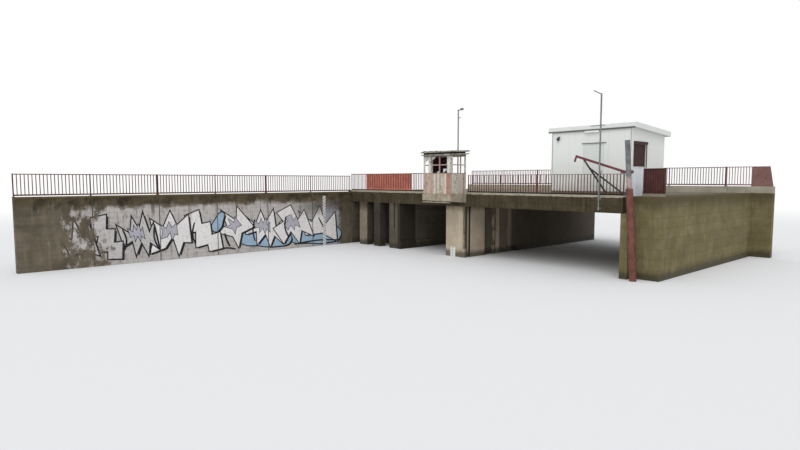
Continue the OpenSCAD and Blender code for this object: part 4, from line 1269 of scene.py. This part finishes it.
class SLUICE_OT_booth_details(Operator):
    """Add torn felt and rubble on the booth's roof and broken panes in its windows"""
    bl_idname = "sluice.booth_details"
    bl_label = "Booth Details"

    def execute(self, context):
        rng = random.Random(31)
        low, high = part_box("booth_roof")
        front_top = max(p.z for p in points_of("booth_roof", lambda p: p.y < low.y + 0.01))
        rear_top = max(p.z for p in points_of("booth_roof", lambda p: p.y > high.y - 0.01))

        def roof_at(y):
            share = (y - low.y) / (high.y - low.y)
            return front_top + (rear_top - front_top) * share

        drop_selection()
        bpy.ops.mesh.primitive_grid_add(x_subdivisions=44, y_subdivisions=30, size=1)
        felt = bpy.context.object
        width, depth = high.x - low.x - 0.03, high.y - low.y - 0.03
        for point in felt.data.vertices:
            x, y = point.co.x * width, point.co.y * depth
            edge = max(abs(point.co.x), abs(point.co.y))
            ragged = 0.02 * math.sin(31 * point.co.y + 3) + 0.015 * math.sin(57 * point.co.x)
            pull = 1 - max(0.0, edge - 0.42) * (0.6 + 8 * ragged)
            x, y = x * pull, y * pull
            ripple = 0.004 * math.sin(17 * x) * math.sin(11 * y + 1) + 0.003 * rng.random()
            spot_y = (low.y + high.y) / 2 + y
            point.co = ((low.x + high.x) / 2 + x, spot_y, roof_at(spot_y) + 0.006 + ripple)
        settle([modify(felt, "SOLIDIFY", thickness=0.005)], "roof_felt", "Roof Felt",
               smooth=50)

        rubble = []
        for _ in range(26):
            drop_selection()
            bpy.ops.mesh.primitive_ico_sphere_add(subdivisions=2, radius=1)
            lump = bpy.context.object
            radius = rng.uniform(0.02, 0.06)
            x = low.x + 0.08 + rng.random() ** 1.6 * (high.x - low.x) * 0.62
            y = low.y + 0.06 + rng.random() * 0.5
            squash = rng.uniform(0.35, 0.6)
            for point in lump.data.vertices:
                grow = radius * rng.uniform(0.75, 1.15)
                point.co = (x + point.co.x * grow * 1.3, y + point.co.y * grow,
                            roof_at(y) + 0.01 + (point.co.z + 0.7) * grow * squash)
            rubble.append(lump)
        settle(rubble, "roof_rubble", "Kerb Concrete", smooth=60)

        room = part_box("booth_parapet")
        sill, head = room[1].z + 0.02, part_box("booth_posts")[1].z
        y = room[0].y + 0.085
        shards = []
        for left, foot, width, height, slant in (
                (room[0].x + 0.1, head - 0.34, 0.26, 0.33, 0.5),
                (-0.72, head - 0.22, 0.3, 0.21, 0.8),
                (-0.3, sill, 0.24, 0.18, -0.6),
                (0.2, sill, 0.3, 0.26, 0.7)):
            pane = block((left, y, foot), (left + width, y + 0.006, foot + height))
            for point in pane.data.vertices:
                right_side = point.co.x > left + width / 2
                upper_side = point.co.z > foot + height / 2
                if (slant > 0) == right_side and (slant > 0) != upper_side:
                    point.co.z += height * slant
            shards.append(pane)
        settle(shards, "broken_panes", "Old Pane")
        return {"FINISHED"}


class SLUICE_OT_hoist_fittings(Operator):
    """Add the hoist's cap, collars, bracket bolts and tip pin"""
    bl_idname = "sluice.hoist_fittings"
    bl_label = "Hoist Fittings"

    def ring_of(self, points):
        """Middle and radius of a ring of points, measured across the lean."""
        middle = sum(points, Vector()) / len(points)
        wide = [point.y for point in points]
        return middle, (max(wide) - min(wide)) / 2

    def execute(self, context):
        low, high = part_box("hoist_post")
        head, radius = self.ring_of(points_of("hoist_post", lambda p: p.z > high.z - 0.03))
        foot, sleeve = self.ring_of(points_of("hoist_post", lambda p: p.z < low.z + 0.01))
        lean = (head - foot).normalized()
        boom_low, boom_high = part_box("hoist_boom")
        step = lean * 4.4
        under = lean * (boom_low.z / lean.z - 0.01)
        collars = [rod(head, head + lean * 0.012, radius + 0.012, 32),
                   rod(foot + step - lean * 0.05, foot + step + lean * 0.012, sleeve + 0.01, 32),
                   rod(foot + under - lean * 0.05, foot + under, radius + 0.03, 32)]
        settle(collars, "hoist_collars", "Hoist Post Paint", 0.003, smooth=40)
        depths = [p.y for p in points_of("hoist_boom")]
        tip = points_of("hoist_boom", lambda p: p.x < boom_low.x + 0.1)
        tip = sum(tip, Vector()) / len(tip)
        reach = Vector((0, (max(depths) - min(depths)) * 0.1 + 0.035, 0))
        settle([rod(tip - reach, tip + reach, 0.014)], "boom_pin", "Black Steel",
               0.003, smooth=40)
        bolts = []
        for x in (0.045, 0.44):
            for z in (0.035, 0.105):
                spot = (boom_high.x - x, boom_low.y, boom_low.z + z)
                bolts.append(bolt_head(spot, (0, -1, 0), 0.014, 0.012))
        settle(bolts, "bracket_bolts", "Zinc")
        return {"FINISHED"}


class SLUICE_OT_mast_fittings(Operator):
    """Clamp the tall mast to the beam and bolt down the camera mast's base plate"""
    bl_idname = "sluice.mast_fittings"
    bl_label = "Mast Fittings"

    def foot_of(self, node):
        """Middle of a mast's foot and its radius."""
        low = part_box(node)[0]
        feet = points_of(node, lambda p: p.z < low.z + 0.01)
        left, right = min(p.x for p in feet), max(p.x for p in feet)
        y = (min(p.y for p in feet) + max(p.y for p in feet)) / 2
        return Vector(((left + right) / 2, y, low.z)), (right - left) / 2

    def execute(self, context):
        pieces, bolts = [], []
        foot, radius = self.foot_of("tall_mast")
        plate = BEAM_FRONT - 0.012
        for z in (foot.z + 0.11, DECK_TOP - 0.13):
            pieces.append(rod((foot.x, foot.y, z - 0.025), (foot.x, foot.y, z + 0.025),
                              radius + 0.008, 20))
            pieces.append(block((foot.x - 0.09, plate, z - 0.05),
                                (foot.x + 0.09, BEAM_FRONT, z + 0.05)))
            for side in (-0.065, 0.065):
                spot = (foot.x + side, plate, z)
                bolts.append(bolt_head(spot, (0, -1, 0), 0.011, 0.01))
        foot = self.foot_of("camera_mast")[0]
        pieces.append(block(foot + Vector((-0.12, -0.12, 0.001)),
                            foot + Vector((0.12, 0.12, 0.016))))
        for i in range(4):
            turn = Matrix.Rotation(math.pi * (0.25 + i / 2), 3, "Z") @ Vector((0.13, 0, 0.016))
            bolts.append(bolt_head(foot + turn, (0, 0, 1), 0.012, 0.012))
        settle(pieces, "mast_clamps", "Zinc", 0.003, smooth=40)
        settle(bolts, "mast_bolts", "Zinc")
        return {"FINISHED"}


class SLUICE_OT_house_details(Operator):
    """Add the shutter's box and rails, roof seams, vents, lamp cover and camera dome"""
    bl_idname = "sluice.house_details"
    bl_label = "House Details"

    def execute(self, context):
        low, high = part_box("side_shutter")
        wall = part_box("house_right_wall")[1].x
        rails = [block((wall, low.y - 0.05, low.z - 0.02), (wall + 0.03, low.y, high.z + 0.02)),
                 block((wall, high.y, low.z - 0.02), (wall + 0.03, high.y + 0.05, high.z + 0.02)),
                 block((wall, low.y - 0.05, high.z), (wall + 0.07, high.y + 0.05, high.z + 0.13))]
        settle(rails, "shutter_rails", "Shutter Paint", 0.005)

        low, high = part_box("house_roof")
        front = max(p.z for p in points_of("house_roof", lambda p: p.y < low.y + 0.01))
        rear = max(p.z for p in points_of("house_roof", lambda p: p.y > high.y - 0.01))
        seams = []
        count = 9
        for i in range(count):
            x = low.x + 0.02 + (high.x - low.x - 0.04) * i / (count - 1)
            seam = block((x - 0.012, low.y + 0.01, 0), (x + 0.012, high.y - 0.01, 0.028))
            for point in seam.data.vertices:
                share = (point.co.y - low.y) / (high.y - low.y)
                point.co.z += front + (rear - front) * share
            seams.append(soften(seam, 0.004))
        settle(seams, "roof_seams", "House Roof")

        rear_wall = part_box("house_rear_wall")[1].y
        left_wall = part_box("house_left_wall")[0].x
        vents = []
        for i in range(7):
            z = DECK_TOP + 2.2 + i * 0.03
            vents.append(block((7.6, rear_wall, z), (8.0, rear_wall + 0.012, z + 0.018)))
            vents.append(block((left_wall - 0.012, -5.2, z), (left_wall, -4.8, z + 0.018)))
        settle(vents, "wall_vents", "Gutter Paint", 0.003)

        low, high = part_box("eave_lamp")
        cover = block((low.x + 0.03, low.y - 0.012, low.z - 0.015),
                      (high.x - 0.03, high.y - 0.02, high.z - 0.03))
        settle([cover], "lamp_cover", "Lamp Cover", 0.02, 3, smooth=40)
        low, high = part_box("dome_camera")
        drop_selection()
        bpy.ops.mesh.primitive_uv_sphere_add(
            segments=24, ring_count=12, radius=0.07,
            location=((low.x + high.x) / 2, low.y + 0.085, low.z + 0.062))
        dome = freeze()
        bpy.ops.object.mode_set(mode="EDIT")
        bpy.ops.mesh.select_all(action="SELECT")
        bpy.ops.mesh.bisect(plane_co=(0, 0, low.z + 0.075), plane_no=(0, 0, 1), clear_outer=True,
                            use_fill=True)
        bpy.ops.object.mode_set(mode="OBJECT")
        settle([dome], "camera_dome", "Dark Glass", smooth=60)
        return {"FINISHED"}


class SLUICE_OT_door_fittings(Operator):
    """Screw a kick plate, a lock plate and a drip bar to the house door"""
    bl_idname = "sluice.door_fittings"
    bl_label = "Door Fittings"

    def execute(self, context):
        low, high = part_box("house_door")
        hold_low, hold_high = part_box("door_handle")
        hold = (hold_low + hold_high) / 2
        face = min(p.y for p in points_of("house_door", lambda p: p.z > high.z - 0.001))
        left, right = low.x + 0.07, high.x - 0.07
        kick = block((left, face - 0.0015, low.z + 0.04), (right, face, low.z + 0.24))
        settle([kick], "door_kick_plate", "Door Paint", 0.0006, body=DOOR)
        lock = block((hold.x - 0.05, face - 0.002, hold.z - 0.14),
                     (hold.x + 0.05, face, hold.z - 0.07))
        settle([lock], "door_lock_plate", "Zinc", 0.0006, body=DOOR)
        bar = block((left, face - 0.014, low.z + 0.26), (right, face, low.z + 0.275))
        settle([bar], "door_drip_bar", "Door Paint", 0.003, body=DOOR)
        screws = []
        for x in (left + 0.02, (low.x + high.x) / 2, right - 0.02):
            for z in (low.z + 0.06, low.z + 0.22):
                screws.append(bolt_head((x, face - 0.0015, z), (0, -1, 0), 0.005, 0.003))
        settle(screws, "door_screws", "Door Paint", body=DOOR)
        return {"FINISHED"}


class SLUICE_OT_stage(Operator):
    """Set the pale floor, the soft light and the camera"""
    bl_idname = "sluice.stage"
    bl_label = "Stage"

    def seen(self, bench, *rays):
        """1 for the named kinds of rays and 0 for the others."""
        path = bench.add("ShaderNodeLightPath").outputs
        share = 0.0
        for ray in rays:
            share = bench.math("MAXIMUM", share, path[ray])
        return share

    def blend(self, bench, share, first, second, output):
        """Hands a mixture of two shaders to an output of the given kind."""
        both = bench.add("ShaderNodeMixShader", {0: share, 1: first.outputs[0],
                                                 2: second.outputs[0]})
        bench.add(output, {"Surface": both.outputs[0]})

    def execute(self, context):
        sizes = context.scene.sluice_sizes
        drop_selection()
        bpy.ops.mesh.primitive_circle_add(vertices=96, radius=FLOOR_RADIUS, fill_type="NGON",
                                          location=(*FLOOR_MIDDLE, -0.004))
        floor = freeze()
        floor.name = "floor"
        pale = bpy.data.materials.new("Pale Floor")
        bench = Bench(empty_tree(pale))
        ground = bench.add("ShaderNodeBsdfDiffuse", {"Color": (0.78, 0.78, 0.78, 1.0)})
        white = bench.add("ShaderNodeEmission", {"Color": (1, 1, 1, 1), "Strength": 1.0})
        place = bench.add("ShaderNodeTexCoord").outputs["Object"]
        away = bench.vector("SUBTRACT", place, (*FLOOR_MIDDLE, 0))
        flat = bench.vector("MULTIPLY", away, (1, 1, 0))
        reach = bench.add("ShaderNodeVectorMath", {0: flat}, operation="LENGTH").outputs["Value"]
        seen = self.seen(bench, "Is Camera Ray", "Is Glossy Ray")
        far = bench.times(bench.ramp(reach, *FLOOR_FADE), seen)
        self.blend(bench, far, ground, white, "ShaderNodeOutputMaterial")
        floor.data.materials.append(pale)

        world = bpy.data.worlds.new("Soft Sky")
        context.scene.world = world
        bench = Bench(empty_tree(world))
        sky = bench.add("ShaderNodeBackground", {"Color": (0.95, 0.97, 1.0, 1.0), "Strength": 0.8})
        plain = bench.add("ShaderNodeBackground", {"Color": (1, 1, 1, 1), "Strength": 1.0})
        seen = self.seen(bench, "Is Camera Ray", "Is Glossy Ray", "Is Transmission Ray")
        self.blend(bench, seen, sky, plain, "ShaderNodeOutputWorld")

        lamp = bpy.data.lights.new("High Sun", "SUN")
        lamp.energy = 1.15
        lamp.angle = math.radians(50)
        sun = bpy.data.objects.new("High Sun", lamp)
        sun.rotation_euler = (math.radians(38), math.radians(14), math.radians(8))
        context.scene.collection.objects.link(sun)

        camera_data = bpy.data.cameras.new("Camera")
        camera_data.lens = sizes.camera_lens
        camera_data.sensor_width = 36
        camera_data.clip_end = 1500
        camera = bpy.data.objects.new("Camera", camera_data)
        camera.location = (*CAMERA_PLACE, sizes.camera_height)
        camera.rotation_euler = (math.radians(90) - sizes.camera_pitch, 0, sizes.camera_heading)
        context.scene.collection.objects.link(camera)
        context.scene.camera = camera
        context.scene.view_settings.view_transform = "Standard"
        return {"FINISHED"}


OPERATORS = [
    SLUICE_OT_finishes,
    SLUICE_OT_wall_paint,
    SLUICE_OT_gauge_marks,
    SLUICE_OT_booth_boards,
    SLUICE_OT_booth_details,
    SLUICE_OT_house_trim,
    SLUICE_OT_house_details,
    SLUICE_OT_door_fittings,
    SLUICE_OT_slot_guides,
    SLUICE_OT_fence_fittings,
    SLUICE_OT_broken_edges,
    SLUICE_OT_hoist_fittings,
    SLUICE_OT_mast_fittings,
    SLUICE_OT_stage,
]


class SLUICE_PT_panel(Panel):
    bl_label = "Sluice Gate"
    bl_idname = "SLUICE_PT_panel"
    bl_space_type = "VIEW_3D"
    bl_region_type = "UI"
    bl_category = "Sluice Gate"

    def draw(self, context):
        for group in (context.scene.sluice_sizes, context.scene.sluice_colours):
            for name in group.__annotations__:
                self.layout.prop(group, name)
        for operator in OPERATORS:
            self.layout.operator(operator.bl_idname)


CLASSES = [SluiceSizes, SluiceColours, *OPERATORS, SLUICE_PT_panel]


def register():
    for cls in CLASSES:
        bpy.utils.register_class(cls)
    bpy.types.Scene.sluice_sizes = PointerProperty(type=SluiceSizes)
    bpy.types.Scene.sluice_colours = PointerProperty(type=SluiceColours)


def unregister():
    del bpy.types.Scene.sluice_colours
    del bpy.types.Scene.sluice_sizes
    for cls in reversed(CLASSES):
        bpy.utils.unregister_class(cls)


def main():
    register()
    for operator in OPERATORS:
        group, name = operator.bl_idname.split(".")
        getattr(getattr(bpy.ops, group), name)()


if __name__ == "__main__":
    main()
